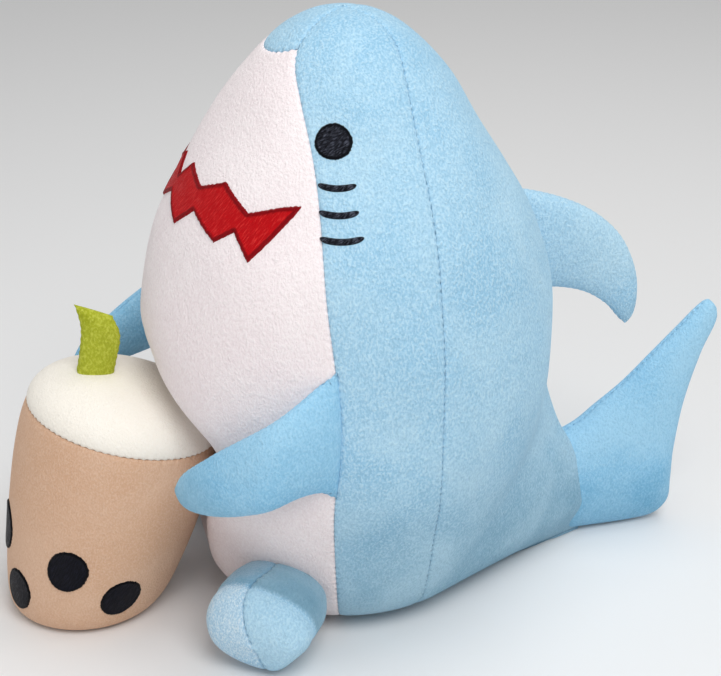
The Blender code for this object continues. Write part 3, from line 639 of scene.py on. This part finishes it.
share = mouth_shares()[None, :]
lower = np.interp(np.abs(share), *np.array(MOUTH_BOTTOM).T)
upper = np.interp(np.abs(share), *np.array(MOUTH_TOP).T)
mouth_up = crowd_edges(MOUTH_ROWS, 0.6)[:, None]
mouth_ends = uneven_ends(share.size) * (2 * mouth_up - 1) ** STITCH_END_FADE
mouth_height = lower + (upper - lower) * mouth_up + mouth_ends
mouth_aside = share * np.radians(MOUTH_HALF_ANGLE) * MOUTH_RADIUS
mouth_lay = np.stack([mouth_aside + 0 * mouth_height, mouth_height], -1)
mouth_edge = np.concatenate([mouth_lay[0], mouth_lay[-1, ::-1]])
mouth_inset = distance_to_outline(mouth_lay, mouth_edge)
mouth_rise = patch_rise(mouth_inset, MOUTH_THICKNESS, MOUTH_CORD_WIDTH, MOUTH_CORD_RISE)
mouth_points = above_body(share * MOUTH_HALF_ANGLE + 0 * mouth_height, way_up(MOUTH_HEIGHT + mouth_height),
                          MOUTH_LIFT + mouth_rise - PATCH_SINK)


def sew_patch(name, points, lay, inset, cord_width, material, paint_slot, *nodes):
    """An embroidered patch, with its threads' drawing and its edge cord kept on it."""
    patch = sew_cover(name, points, material, lay=lay, cord=cord_share(inset, cord_width))
    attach(patch, "body")
    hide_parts(*nodes)


sew_patch("mouth_patch", mouth_points, mouth_lay, mouth_inset, MOUTH_CORD_WIDTH, red_satin, "red_thread",
          "mouth")


# ---------------- eyes and gills
# A round eye and three short bowed gill strokes are worked in navy satin stitch on each side band.
# The stitching stands a little proud and pulls the velvet in round its edge.

EYE_ANGLE = 71.9
EYE_HEIGHT = 220.0
EYE_DIAMETER = 15.0
EYE_THICKNESS = 1.1
EYE_CORD_WIDTH = 1.5
EYE_CORD_RISE = 0.2
# From the lowest gill up: angle of its middle, height, length
GILLS = ((75.6, 188.2, 17.2), (74.6, 196.8, 15.6), (73.8, 205.6, 15.0))
GILL_SAG = 1.3
GILL_HALF_WIDTH = 1.35
GILL_THICKNESS = 0.9
GILL_SINK = 0.15
GILL_CORD_WIDTH = 0.3
GILL_SQUARENESS = 5
GILL_ROWS = 15
GILL_COLUMNS = 45

navy_satin = satin("navy_satin", colour(8, 9, 20), colour(150, 156, 178), colour(5, 6, 14),
                   width=0.3, direction=0.9, glints=0.7)


def spot_on_side(angle, height, aside, up, rise):
    """Points round a spot on the side band, by millimetres aside and up the skin."""
    radius = float(body_radius(np.array(angle), np.array(way_up(height))))
    return above_body(angle + np.degrees(aside / radius), way_up(height) + up, rise)


def disc_grid(width, height, rings=14, steps=120):
    """Offsets over a round patch from its middle to its edge, and each one's distance from the edge."""
    turn = np.linspace(2 * np.pi, 0.0, steps + 1)[None, :]
    out = np.sin(np.pi / 2 * np.linspace(0.0, 1.0, rings + 1))[:, None]
    ends = uneven_ends(steps)
    ends = np.concatenate([ends, ends[:, :1]], axis=1)
    reach = out * (1 + ends * out ** STITCH_END_FADE / min(width, height) * 2)
    flat = np.stack([reach * np.cos(turn) * width / 2, reach * np.sin(turn) * height / 2], -1)
    return flat, (1 - out + 0 * turn) * min(width, height) / 2


eye_lay, eye_inset = disc_grid(EYE_DIAMETER, EYE_DIAMETER)
eye_rise = patch_rise(eye_inset, EYE_THICKNESS, EYE_CORD_WIDTH, EYE_CORD_RISE) - PATCH_SINK
eye_points = spot_on_side(EYE_ANGLE, EYE_HEIGHT, eye_lay[..., 0], eye_lay[..., 1], eye_rise)

gill_across = np.sin(np.pi / 2 * np.linspace(-1.0, 1.0, GILL_ROWS))[:, None]
gill_along = np.sin(np.pi / 2 * np.linspace(-1.0, 1.0, GILL_COLUMNS))[None, :]
gill_width = GILL_HALF_WIDTH * np.sqrt(np.maximum(1 - np.abs(gill_along) ** GILL_SQUARENESS, 0.0))
gill_up = gill_across * gill_width - GILL_SAG * (1 - gill_along ** 2)
gill_inset = (1 - np.abs(gill_across)) * gill_width + 0 * gill_up
gill_rise = GILL_THICKNESS * np.sqrt(1 - gill_across ** 2) * gill_width / GILL_HALF_WIDTH - GILL_SINK

for side, sign in SIDES:
    sew_patch("eye_patch_" + side, mirrored(eye_points, sign), eye_lay, eye_inset, EYE_CORD_WIDTH,
              navy_satin, "navy_thread", "eye_" + side)
    for number, (angle, height, length) in enumerate(GILLS, 1):
        gill_aside = gill_along * length / 2 + 0 * gill_up
        gill_points = spot_on_side(angle, height, gill_aside, gill_up, gill_rise)
        gill_lay = np.stack([gill_aside, gill_up], -1)
        sew_patch("gill_stroke_%s_%d" % (side, number), mirrored(gill_points, sign), gill_lay, gill_inset,
                  GILL_CORD_WIDTH, navy_satin, "navy_thread", "gill_%s_%d" % (side, number))


# ---------------- flippers
# Each flipper is two velvet covers sewn face to face round one outline, turned and stuffed. Its open
# end is caught in the side seam, and it bends forward round the belly to hold the cup.

# A limb's cross-section is rounder than an ellipse, and its seam is full where it is this thick
LIMB_SQUARENESS = 2.3
FULL_SEAM_THICKNESS = 5.0
FLIPPER_HALF_THICKNESS = 9.3
FLIPPER_REACH = 101.0
FLIPPER_SEAM_TUCK = 0.4
FLIPPER_SINK = 1.0
FLIPPER_WIDEST = 90.0
FLIPPER_LEAVES = 0.42
FLIPPER_PRESS = 0.02
FLIPPER_CLEARANCE = 1.4
FLIPPER_ROOT = 0.1
FLIPPER_TIP_CURVE = 1.3
# Where a limb starts to bend with its joint and where it moves fully with it
FLIPPER_BEND = ((88.0, -24.0, 110.0), (90.0, -44.0, 110.0))
# The painted shading: height and forward reach where it starts to darken, each with over how far. Then
# the painted light in the open, and how much painted shade falls low down and how much darker it gets at the
# tip
FLIPPER_LOW_SHADE = (100.0, 30.0)
FLIPPER_TIP_DARKENING = (62.0, 22.0)
FLIPPER_SHADING = (0.25, 0.7, 0.45)
# Side, angle of the tip from the front, extra reach of the tip
FLIPPERS = (("left", 33.0, 0.0), ("right", 35.0, 38.0))
# Edges of the flat outline: share of the length, height
FLIPPER_LOW = ((0.0, 82.5), (0.1, 86.0), (0.22, 86.0), (0.36, 82.0), (0.6, 76.0), (0.8, 73.0), (0.93, 73.6),
               (1.0, 79.5))
FLIPPER_HIGH = ((0.0, 138.5), (0.145, 132.5), (0.385, 120.0), (0.65, 106.0), (0.77, 99.0), (0.93, 88.5),
                (1.0, 79.5))


def stuffed_covers(low, high, half_thickness, place, columns=56, rows=130):
    """The two facing covers of a stuffed limb, from its flat outline's edges and how full it is."""
    along = crowd_edges(rows, 0.9)[:, None]
    share = np.sin(np.pi / 2 * np.linspace(-1, 1, columns + 1))[None, :]
    low_edge, high_edge = low(along), high(along)
    flat = (low_edge + high_edge) / 2 + (high_edge - low_edge) / 2 * share[..., None]
    bulge = half_thickness(along) * np.sqrt(1 - np.abs(share) ** LIMB_SQUARENESS)
    fullness = smooth_step(half_thickness(along) / FULL_SEAM_THICKNESS)
    covers = []
    for side in (1, -1):
        points = place(flat[..., 0], flat[..., 1], bulge * side)
        inner = place(flat[..., 0], flat[..., 1], 0 * bulge)
        middle = rows // 2, columns // 2
        if normals(points)[middle] @ (points - inner)[middle] < 0:
            points = points[:, ::-1]
        points = points + normals(points) * (seam_lift(points) * fullness)[..., None]
        covers.append(tuck_edges(points, allowance=SEAM_ALLOWANCE * fullness[..., None]))
    return covers


def edge_line(knots):
    """An edge of a flat outline through (share of the length, first, second coordinate) knots."""
    shares, first, second = zip(*knots)

    def edge(along):
        return np.stack([curve_through(list(zip(shares, first)), along),
                         curve_through(list(zip(shares, second)), along)], -1)
    return edge


def finish_limb_cover(name, points, material, nodes, nap):
    """Sews a limb's cover on."""
    cover = sew_cover(name, points, material, nap=nap(points))
    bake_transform(cover)
    finish_cover(nodes)


def finish_side_limb(kind, part, side, covers, materials, bend, nap):
    """Sews on a side limb's outer and inner cover; the outer one stands for its filling as well."""
    limb = "%s_%s" % (kind, side)
    sign = dict(SIDES)[side]
    bend = [(x * sign, y, z) for x, y, z in bend]
    for face, cover, material in zip(("outer", "inner"), covers, materials):
        nodes = ["%s_%s_%s" % (limb, face, part)]
        if face == "outer":
            nodes.append(limb + "_filling")
        finish_limb_cover("%s_%s_cover_%s" % (kind, face, side), mirrored(cover, sign), material,
                          nodes, nap)


def finish_middle_limb(limb, piece, covers, material, nap):
    """Sews on a middle limb's left and right cover; the left one stands for its filling as well."""
    for (side, _), cover in zip(SIDES, covers):
        nodes = ["%s_%s_panel" % (limb, side)]
        if side == "left":
            nodes.append(limb + "_filling")
        finish_limb_cover("%s_cover_%s" % (piece, side), cover, material, nodes,
                          nap)


def root_fill(along, length):
    """Rounds a limb up from a flat sewn end to its full thickness over a share of its length."""
    return np.sqrt(1 - (1 - np.clip(along / length, 0.0, 1.0)) ** 2)


def tip_fill(along, sharpness):
    return np.sqrt(np.maximum(1 - along ** sharpness, 0.0))


def limb_thickness(half, taper, tip, root=1.0, start=0.0):
    """How thick a limb is to each side, along its length, from its root to its rounded tip."""
    def thickness(along):
        return half * root_fill(along + start, root) * (1 - taper * along) * tip_fill(along, tip)
    return thickness


def flipper_place(tip_angle, tip_reach):
    """Where a flipper's flat outline lies in the round, bending forward to its own tip."""
    def place(along, height, out):
        seam = curve_through(SIDE_SEAM, height / BODY_HEIGHT) + FLIPPER_SEAM_TUCK
        angle = seam + (tip_angle - seam) * along
        root = body_radius(np.minimum(angle, FLIPPER_WIDEST), way_up(height)) - FLIPPER_SINK
        reach = root + (FLIPPER_REACH - root) * smooth_step(along / FLIPPER_LEAVES)
        clear = root + np.minimum(out, 0.0) * FLIPPER_PRESS
        clear = clear + FLIPPER_CLEARANCE * smooth_step(along / FLIPPER_ROOT)
        reach = np.maximum(reach + out, clear) + tip_reach * along ** FLIPPER_TIP_CURVE
        turn = np.radians(angle)
        return np.stack([reach * np.sin(turn), -reach * np.cos(turn), height + 0 * reach], -1)
    return place


def flipper_nap(points):
    """Painted light on the flipper, with painted shade along the lower edge, and darker at the tip."""
    low_start, low_length = FLIPPER_LOW_SHADE
    tip_start, tip_length = FLIPPER_TIP_DARKENING
    low_part = smooth_step((low_start - points[..., 2]) / low_length)
    tip_part = smooth_step((-tip_start - points[..., 1]) / tip_length)
    raised, low_fall, tip_fall = FLIPPER_SHADING
    return raised - low_fall * low_part - tip_fall * tip_part


flipper_low = edge_line([(share, share, height) for share, height in FLIPPER_LOW])
flipper_high = edge_line([(share, share, height) for share, height in FLIPPER_HIGH])
flipper_thickness = limb_thickness(FLIPPER_HALF_THICKNESS, taper=0.38, tip=6, root=0.3)
for side, tip_angle, tip_reach in FLIPPERS:
    flipper_covers = stuffed_covers(flipper_low, flipper_high, flipper_thickness,
                                    flipper_place(tip_angle, tip_reach))
    finish_side_limb("flipper", "panel", side, flipper_covers, (deep_blue_velvet, deep_blue_velvet),
                     FLIPPER_BEND, flipper_nap)


# ---------------- dorsal fin
# A drooping crescent of two stuffed velvet covers, sewn on the centre-back seam.

DORSAL_HALF_THICKNESS = 8.8
# A fin's painted light at the top, and how much painted shade falls lower down
FIN_SHADING = (0.3, 0.7)
# Edges of the flat outline: share of the length, reach behind the body's axis, height
DORSAL_LOW = ((0.0, 82.0, 128.5), (0.2, 97.0, 128.2), (0.45, 111.2, 124.5), (0.7, 122.4, 117.3),
              (0.92, 129.9, 108.9), (1.0, 133.2, 106.3))
DORSAL_HIGH = ((0.0, 75.0, 178.0), (0.14, 93.0, 173.0), (0.30, 108.6, 166.5), (0.47, 120.6, 158.4),
               (0.62, 129.5, 148.5), (0.75, 135.8, 135.2), (0.86, 138.0, 123.2), (0.95, 137.0, 112.0),
               (1.0, 133.2, 106.3))


def fin_place(reach, height, out):
    return np.stack([out, reach + 0 * out, height + 0 * out], -1)


def fin_nap(light_height, dark_height):
    """A fin's painted shading: painted light at the top, painted shade lower down."""
    raised, fall = FIN_SHADING

    def nap(points):
        return raised - fall * smooth_step((light_height - points[..., 2]) / (light_height - dark_height))
    return nap


dorsal_thickness = limb_thickness(DORSAL_HALF_THICKNESS, taper=0.5, tip=8, root=0.3, start=0.08)
dorsal_covers = stuffed_covers(edge_line(DORSAL_LOW), edge_line(DORSAL_HIGH), dorsal_thickness, fin_place)
finish_middle_limb("dorsal_fin", "dorsal_fin", dorsal_covers, blue_velvet,
                   fin_nap(light_height=140.0, dark_height=100.0))


# ---------------- tail
# The tail is an upright fin of two stuffed velvet covers with one long upper lobe and a blunt heel.
# It is sewn on the narrow back end of the body, where it rests on the floor.

TAIL_HALF_THICKNESS = 12.5
# Edges of the flat outline: share of the length, reach behind the body's axis, height
TAIL_LOW = ((0.0, 104.0, 1.0), (0.12, 122.0, 0.8), (0.25, 143.0, 0.8), (0.33, 155.5, 2.6),
            (0.385, 161.8, 9.0), (0.46, 162.4, 20.0), (0.56, 162.6, 36.0), (0.70, 165.8, 62.0),
            (0.84, 172.6, 87.0), (0.94, 179.2, 102.5), (1.0, 179.0, 109.5))
TAIL_HIGH = ((0.0, 98.0, 51.0), (0.1, 112.0, 57.5), (0.2, 121.5, 65.3), (0.38, 134.7, 76.2),
             (0.58, 147.9, 89.2), (0.78, 161.2, 102.3), (0.92, 171.6, 112.6), (0.97, 175.6, 113.6),
             (1.0, 179.0, 109.5))

tail_thickness = limb_thickness(TAIL_HALF_THICKNESS, taper=0.62, tip=10, root=0.25, start=0.12)
tail_covers = stuffed_covers(edge_line(TAIL_LOW), edge_line(TAIL_HIGH), tail_thickness, fin_place,
                             columns=72, rows=170)
finish_middle_limb("tail_fin", "tail", tail_covers, deep_blue_velvet,
                   fin_nap(light_height=60.0, dark_height=5.0))


# ---------------- feet
# Each foot is a stubby stuffed toe on a short ankle: two velvet halves sewn over the top and down the
# front, with a soft fold where the toe bulges out of the ankle. It is sewn to the base's front corner.

FOOT_ANGLE = np.radians(55.0)
FOOT_SHIFT = -2.0
FOOT_SEAM_BEND = 4.5
FOOT_HEIGHT = 40.0
FOOT_SIDE = 24.0
FOOT_UNDERCUT = 0.4
UNDERCUT_HEIGHT = 22.0
TOE_START = 80.0
TOE_LENGTH = 16.0
FOOT_BEND = ((61.0, -47.0, 20.0), (74.0, -57.0, 20.0))
# The painted shading: where the ankle's painted shade ends, how its end slants and how soon it gives way to
# the toe. Then the painted light on the toe, and how much painted shade falls at the ankle and underneath
ANKLE_REACH = 91.0
ANKLE_TOP = 38.0
ANKLE_SLOPE = 0.25
ANKLE_FADE = 4.0
UNDERNEATH_HEIGHT = 14.0
FOOT_SHADING = (0.2, 1.1, 0.6)
# Edges of the flat outline: share of the length, reach from the body's axis, height
FOOT_LOW = ((0.0, 50.0, 10.0), (0.2, 63.0, 4.0), (0.4, 74.0, 1.2), (0.6, 84.0, 0.5), (0.78, 93.0, 0.9),
            (0.9, 100.0, 5.0), (1.0, 104.5, 17.0))
FOOT_HIGH = ((0.0, 50.0, 32.0), (0.2, 65.0, 38.5), (0.4, 78.0, 41.8), (0.55, 88.0, 41.6), (0.64, 93.0, 39.6),
             (0.70, 96.5, 39.0), (0.80, 101.5, 34.5), (0.90, 104.5, 26.5), (1.0, 104.5, 17.0))
FOOT_HALF_WIDTH = ((0.0, 12.0), (0.2, 18.0), (0.4, 22.6), (0.58, 23.4), (0.66, 23.0), (0.76, 23.4),
                   (0.88, 19.0), (0.96, 11.0), (1.0, 0.0))

# The feet's inner halves use a copy of the blue velvet with whiter, finer, denser fibre tips: a speckled
# pile, and painted light where the toe is lit.
speckled_lit_velvet = velvet("speckled_lit_velvet", SKY, colour(226, 240, 248), DEEP_SKY_SHADOW, fibre_size=0.75,
                         speckle=0.8, brushing=0.3, sheen=0.4, relief=0.0008)


def foot_width(along):
    return np.maximum(curve_through(FOOT_HALF_WIDTH, along), 0.0)


def foot_place(reach, height, out):
    toe = smooth_step((reach - TOE_START) / TOE_LENGTH)
    slant = 1 - 2 * smooth_step(height / FOOT_HEIGHT)
    bend = FOOT_SEAM_BEND * toe * slant * (1 - (out / FOOT_SIDE) ** 2)
    undercut = 1 - FOOT_UNDERCUT * (out > 0) * smooth_step(1 - height / UNDERCUT_HEIGHT)
    aside = out * undercut + bend + FOOT_SHIFT
    x = reach * np.sin(FOOT_ANGLE) + aside * np.cos(FOOT_ANGLE)
    y = -reach * np.cos(FOOT_ANGLE) + aside * np.sin(FOOT_ANGLE)
    return np.stack([x, y, height + 0 * out], -1)


def foot_nap(points):
    """Painted shade on the ankle, tucked in under the body, and underneath; painted light on the toe."""
    reach = np.abs(points[..., 0]) * np.sin(FOOT_ANGLE) - points[..., 1] * np.cos(FOOT_ANGLE)
    past_ankle = reach - ANKLE_REACH - ANKLE_SLOPE * (points[..., 2] - ANKLE_TOP)
    ankle = 1 - smooth_step(past_ankle / ANKLE_FADE)
    underneath = smooth_step((UNDERNEATH_HEIGHT - points[..., 2]) / UNDERNEATH_HEIGHT)
    raised, ankle_fall, low_fall = FOOT_SHADING
    return raised - ankle_fall * ankle - low_fall * underneath


foot_covers = stuffed_covers(edge_line(FOOT_LOW), edge_line(FOOT_HIGH), foot_width, foot_place,
                             columns=72, rows=120)
for side, _ in SIDES:
    finish_side_limb("foot", "half", side, foot_covers, (blue_velvet, speckled_lit_velvet), FOOT_BEND,
                     foot_nap)


# ---------------- cup
# The drink is a stuffed cup of tan velvet with a round base, closed by a puffed cream top that is sewn
# in at the rim. It leans back on the belly and is tacked to it where the two touch.

CUP_RIM_LIFT = 6.5
CUP_FLOOR_GAP = 0.4
# Outline of the wall in the cup's own leaning frame: radius, height
CUP_OUTLINE = ((27.0, 0.0), (31.5, 1.1), (34.6, 4.6), (37.2, 12.0), (39.6, 25.0), (41.8, 42.0), (43.2, 60.0),
               (43.3, 74.0), (42.3, 84.0))
CREAM_RADIUS = 42.3
CREAM_RISE = 20.0
CREAM_SIDE_FULLNESS = 0.92
CREAM_TOP_FULLNESS = 0.85

tan_velvet = velvet("tan_velvet", colour(212, 172, 142), colour(232, 204, 182), colour(186, 142, 112),
                    fibre_size=0.7, speckle=0.4, brushing=0.25, sheen=0.3)
cream_velvet = velvet("cream_velvet", colour(246, 240, 229), colour(253, 250, 243), colour(236, 226, 212),
                      fibre_size=0.8, speckle=0.25, brushing=0.2, sheen=0.25)


def stand_cup(x, y, z):
    """Points of the leaning cup's own frame, set down in front of the belly with its base flat."""
    upper = smooth_step(z / CUP_WALL_HEIGHT)
    lean_y = y * np.cos(CUP_LEAN * upper) + z * np.sin(CUP_LEAN) - CUP_BASE_REACH
    lean_z = z * np.cos(CUP_LEAN) + upper * (CUP_RIM_LIFT - y * np.sin(CUP_LEAN)) + CUP_FLOOR_GAP
    return np.stack([x + 0 * lean_y, lean_y, lean_z], -1)


def turned_cover(radius, height, columns=300):
    """A cover turned about the cup's axis from its outline, with its own seam at the back."""
    angle = np.linspace(-np.pi, np.pi, columns + 1)[None, :]
    radius, height = np.asarray(radius)[:, None], np.asarray(height)[:, None]
    return stand_cup(radius * np.sin(angle), -radius * np.cos(angle), height + 0 * angle)


def finish_cup_cover(name, points, material, paint_slot, nodes, **sewn):
    points = points + normals(points) * seam_lift(points, **sewn)[..., None]
    cover = sew_cover(name, tuck_edges(points, **sewn), material)
    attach(cover, "body")
    finish_cover(nodes)


cup_steps = np.linspace(0, 1, len(CUP_OUTLINE))
cup_fine = crowd_edges(170, 0.6)
wall_radius = curve_through([(s, radius) for s, (radius, _) in zip(cup_steps, CUP_OUTLINE)], cup_fine)
wall_height = curve_through([(s, height) for s, (_, height) in zip(cup_steps, CUP_OUTLINE)], cup_fine)
finish_cup_cover("cup_wall_cover", turned_cover(wall_radius, wall_height), tan_velvet, "tan_plush",
                 ("cup_wall", "cup_filling"), low=True, high=True)

disc_radius = CUP_OUTLINE[0][0] * crowd_edges(26, 0.5)
finish_cup_cover("cup_base_cover", turned_cover(disc_radius, 0 * disc_radius)[:, ::-1], tan_velvet,
                 "tan_plush", ("cup_base",), first=False, last=False, high=True)

dome_turn = (1 - crowd_edges(110, 0.7)) * np.pi / 2
dome_radius = CREAM_RADIUS * np.sin(dome_turn) ** CREAM_SIDE_FULLNESS
dome_height = CUP_WALL_HEIGHT + CREAM_RISE * np.cos(dome_turn) ** CREAM_TOP_FULLNESS
finish_cup_cover("cream_top_cover", turned_cover(dome_radius, dome_height), cream_velvet, "cream_plush",
                 ("cup_cream_top",), first=False, last=False, low=True)


# ---------------- pearls
# Seven tapioca pearls are embroidered round the lower cup in navy satin stitch, each a raised disc.

PEARL_WIDTH = 19.8
PEARL_HEIGHT = 18.0
PEARL_THICKNESS = 1.0
PEARL_SINK = 0.4
PEARL_CORD_WIDTH = 1.4
PEARL_CORD_RISE = 0.15
PEARL_SHORTENING = 0.97
# Angle from the cup's front, height up its wall
PEARLS = ((101.0, 19.0), (64.0, 32.0), (26.0, 16.0), (2.0, 36.0), (-28.0, 18.0), (-62.0, 32.0),
          (-97.0, 20.0))

pearl_satin = satin("pearl_satin", colour(8, 9, 22), colour(34, 38, 64), colour(5, 6, 14),
                    width=0.5, direction=0.4, glints=0.5)


def on_cup(angle, height, rise):
    """Points at a distance off the cup's wall, by angle from its front and height up it."""
    radius = np.interp(height, wall_height, wall_radius)
    flare = np.arctan(np.interp(height + 0.5, wall_height, wall_radius)
                      - np.interp(height - 0.5, wall_height, wall_radius))
    out = radius + rise * np.cos(flare)
    return stand_cup(out * np.sin(angle), -out * np.cos(angle), height - rise * np.sin(flare))


pearl_lay, pearl_inset = disc_grid(PEARL_WIDTH, PEARL_HEIGHT)
pearl_rise = patch_rise(pearl_inset, PEARL_THICKNESS, PEARL_CORD_WIDTH, PEARL_CORD_RISE) - PEARL_SINK
for number, (angle, height) in enumerate(PEARLS, 1):
    pearl_turn = np.radians(angle) + pearl_lay[..., 0] / CUP_RADIUS
    pearl_points = on_cup(pearl_turn, height + pearl_lay[..., 1] * PEARL_SHORTENING, pearl_rise)
    sew_patch("pearl_patch_%d" % number, pearl_points, pearl_lay, pearl_inset, PEARL_CORD_WIDTH, pearl_satin,
              "navy_thread", "pearl_%d" % number)


# ---------------- straw
# A flat tube of green velvet with pointed corners, stuffed and sewn into the cream top.

STRAW_HALF_THICKNESS = 4.6
# Edges in the cup's leaning frame: share of the length, distance from the cup's axis, height
STRAW_FRONT = ((0.0, -24.0, 98.0), (0.3, -24.6, 110.0), (0.65, -26.3, 121.5), (1.0, -30.8, 131.6))
STRAW_BACK = ((0.0, -7.8, 96.0), (0.4, -7.8, 109.0), (0.8, -8.6, 121.5), (1.0, -13.6, 129.0))

green_velvet = velvet("green_velvet", colour(160, 168, 36), colour(200, 206, 84), colour(116, 122, 18),
                      fibre_size=1.0, speckle=0.7, brushing=0.3, sheen=0.25, relief=0.0009)


def straw_place(across, height, out):
    return stand_cup(out, across, height)


# The straw has no painted light or shade.
def even_nap(points):
    return 0 * points[..., 2]


straw_thickness = limb_thickness(STRAW_HALF_THICKNESS, taper=0.2, tip=12, start=1.0)
straw_covers = stuffed_covers(edge_line(STRAW_FRONT), edge_line(STRAW_BACK), straw_thickness, straw_place,
                              columns=40, rows=70)
finish_middle_limb("straw", "straw", straw_covers, green_velvet,
                   even_nap)


# ---------------- stage
# A plain pale floor under soft studio light. The camera looks down from the shark's left side.

CAMERA_PLACE = (0.6297, -0.1537, 0.4069)
CAMERA_AIM = (0.00173, 0.00676, 0.11346)
CAMERA_LENS = 80.36
FLOOR_SIZE = 5.0
FLOOR_DROP = 0.0002
PAPER_GREY = (0.86, 0.86, 0.86, 1.0)
ROOM_LIGHT = 0.4


def aim(item, target):
    item.rotation_mode = "QUATERNION"
    item.rotation_quaternion = (Vector(target) - item.location).to_track_quat("-Z", "Y")


def soft_light(name, place, size, power):
    light = bpy.data.lights.new(name, "AREA")
    light.shape = "DISK"
    light.size = size
    light.energy = power
    lamp = bpy.data.objects.new(name, light)
    lamp.location = place
    aim(lamp, CAMERA_AIM)
    bpy.context.scene.collection.objects.link(lamp)


floor_mesh = bpy.data.meshes.new("floor")
half = FLOOR_SIZE / 2
floor_mesh.from_pydata([(-half, -half, 0), (half, -half, 0), (half, half, 0), (-half, half, 0)], [],
                       [(0, 1, 2, 3)])
floor = bpy.data.objects.new("floor", floor_mesh)
floor.location.z = -FLOOR_DROP
paper = bpy.data.materials.new("pale_paper")
paper.use_nodes = True
paper_shader = paper.node_tree.nodes["Principled BSDF"]
paper_shader.inputs["Base Color"].default_value = PAPER_GREY
paper_shader.inputs["Roughness"].default_value = 0.9
floor_mesh.materials.append(paper)
bpy.context.scene.collection.objects.link(floor)

world = bpy.data.worlds.new("studio")
world.use_nodes = True
world.node_tree.nodes["Background"].inputs["Color"].default_value = (1.0, 1.0, 1.0, 1.0)
world.node_tree.nodes["Background"].inputs["Strength"].default_value = ROOM_LIGHT
bpy.context.scene.world = world
bpy.context.scene.view_settings.view_transform = "Standard"

soft_light("key", (0.9, 0.1, 1.3), 0.9, 11.0)
soft_light("top", (-0.1, 0.3, 1.5), 1.0, 6.0)
soft_light("fill", (0.7, -1.0, 0.5), 0.8, 1.5)

camera_data = bpy.data.cameras.new("camera")
camera_data.sensor_width = 36.0
camera_data.lens = CAMERA_LENS
camera_data.clip_start = 0.01
camera = bpy.data.objects.new("camera", camera_data)
camera.location = CAMERA_PLACE
aim(camera, CAMERA_AIM)
bpy.context.scene.collection.objects.link(camera)
bpy.context.scene.camera = camera
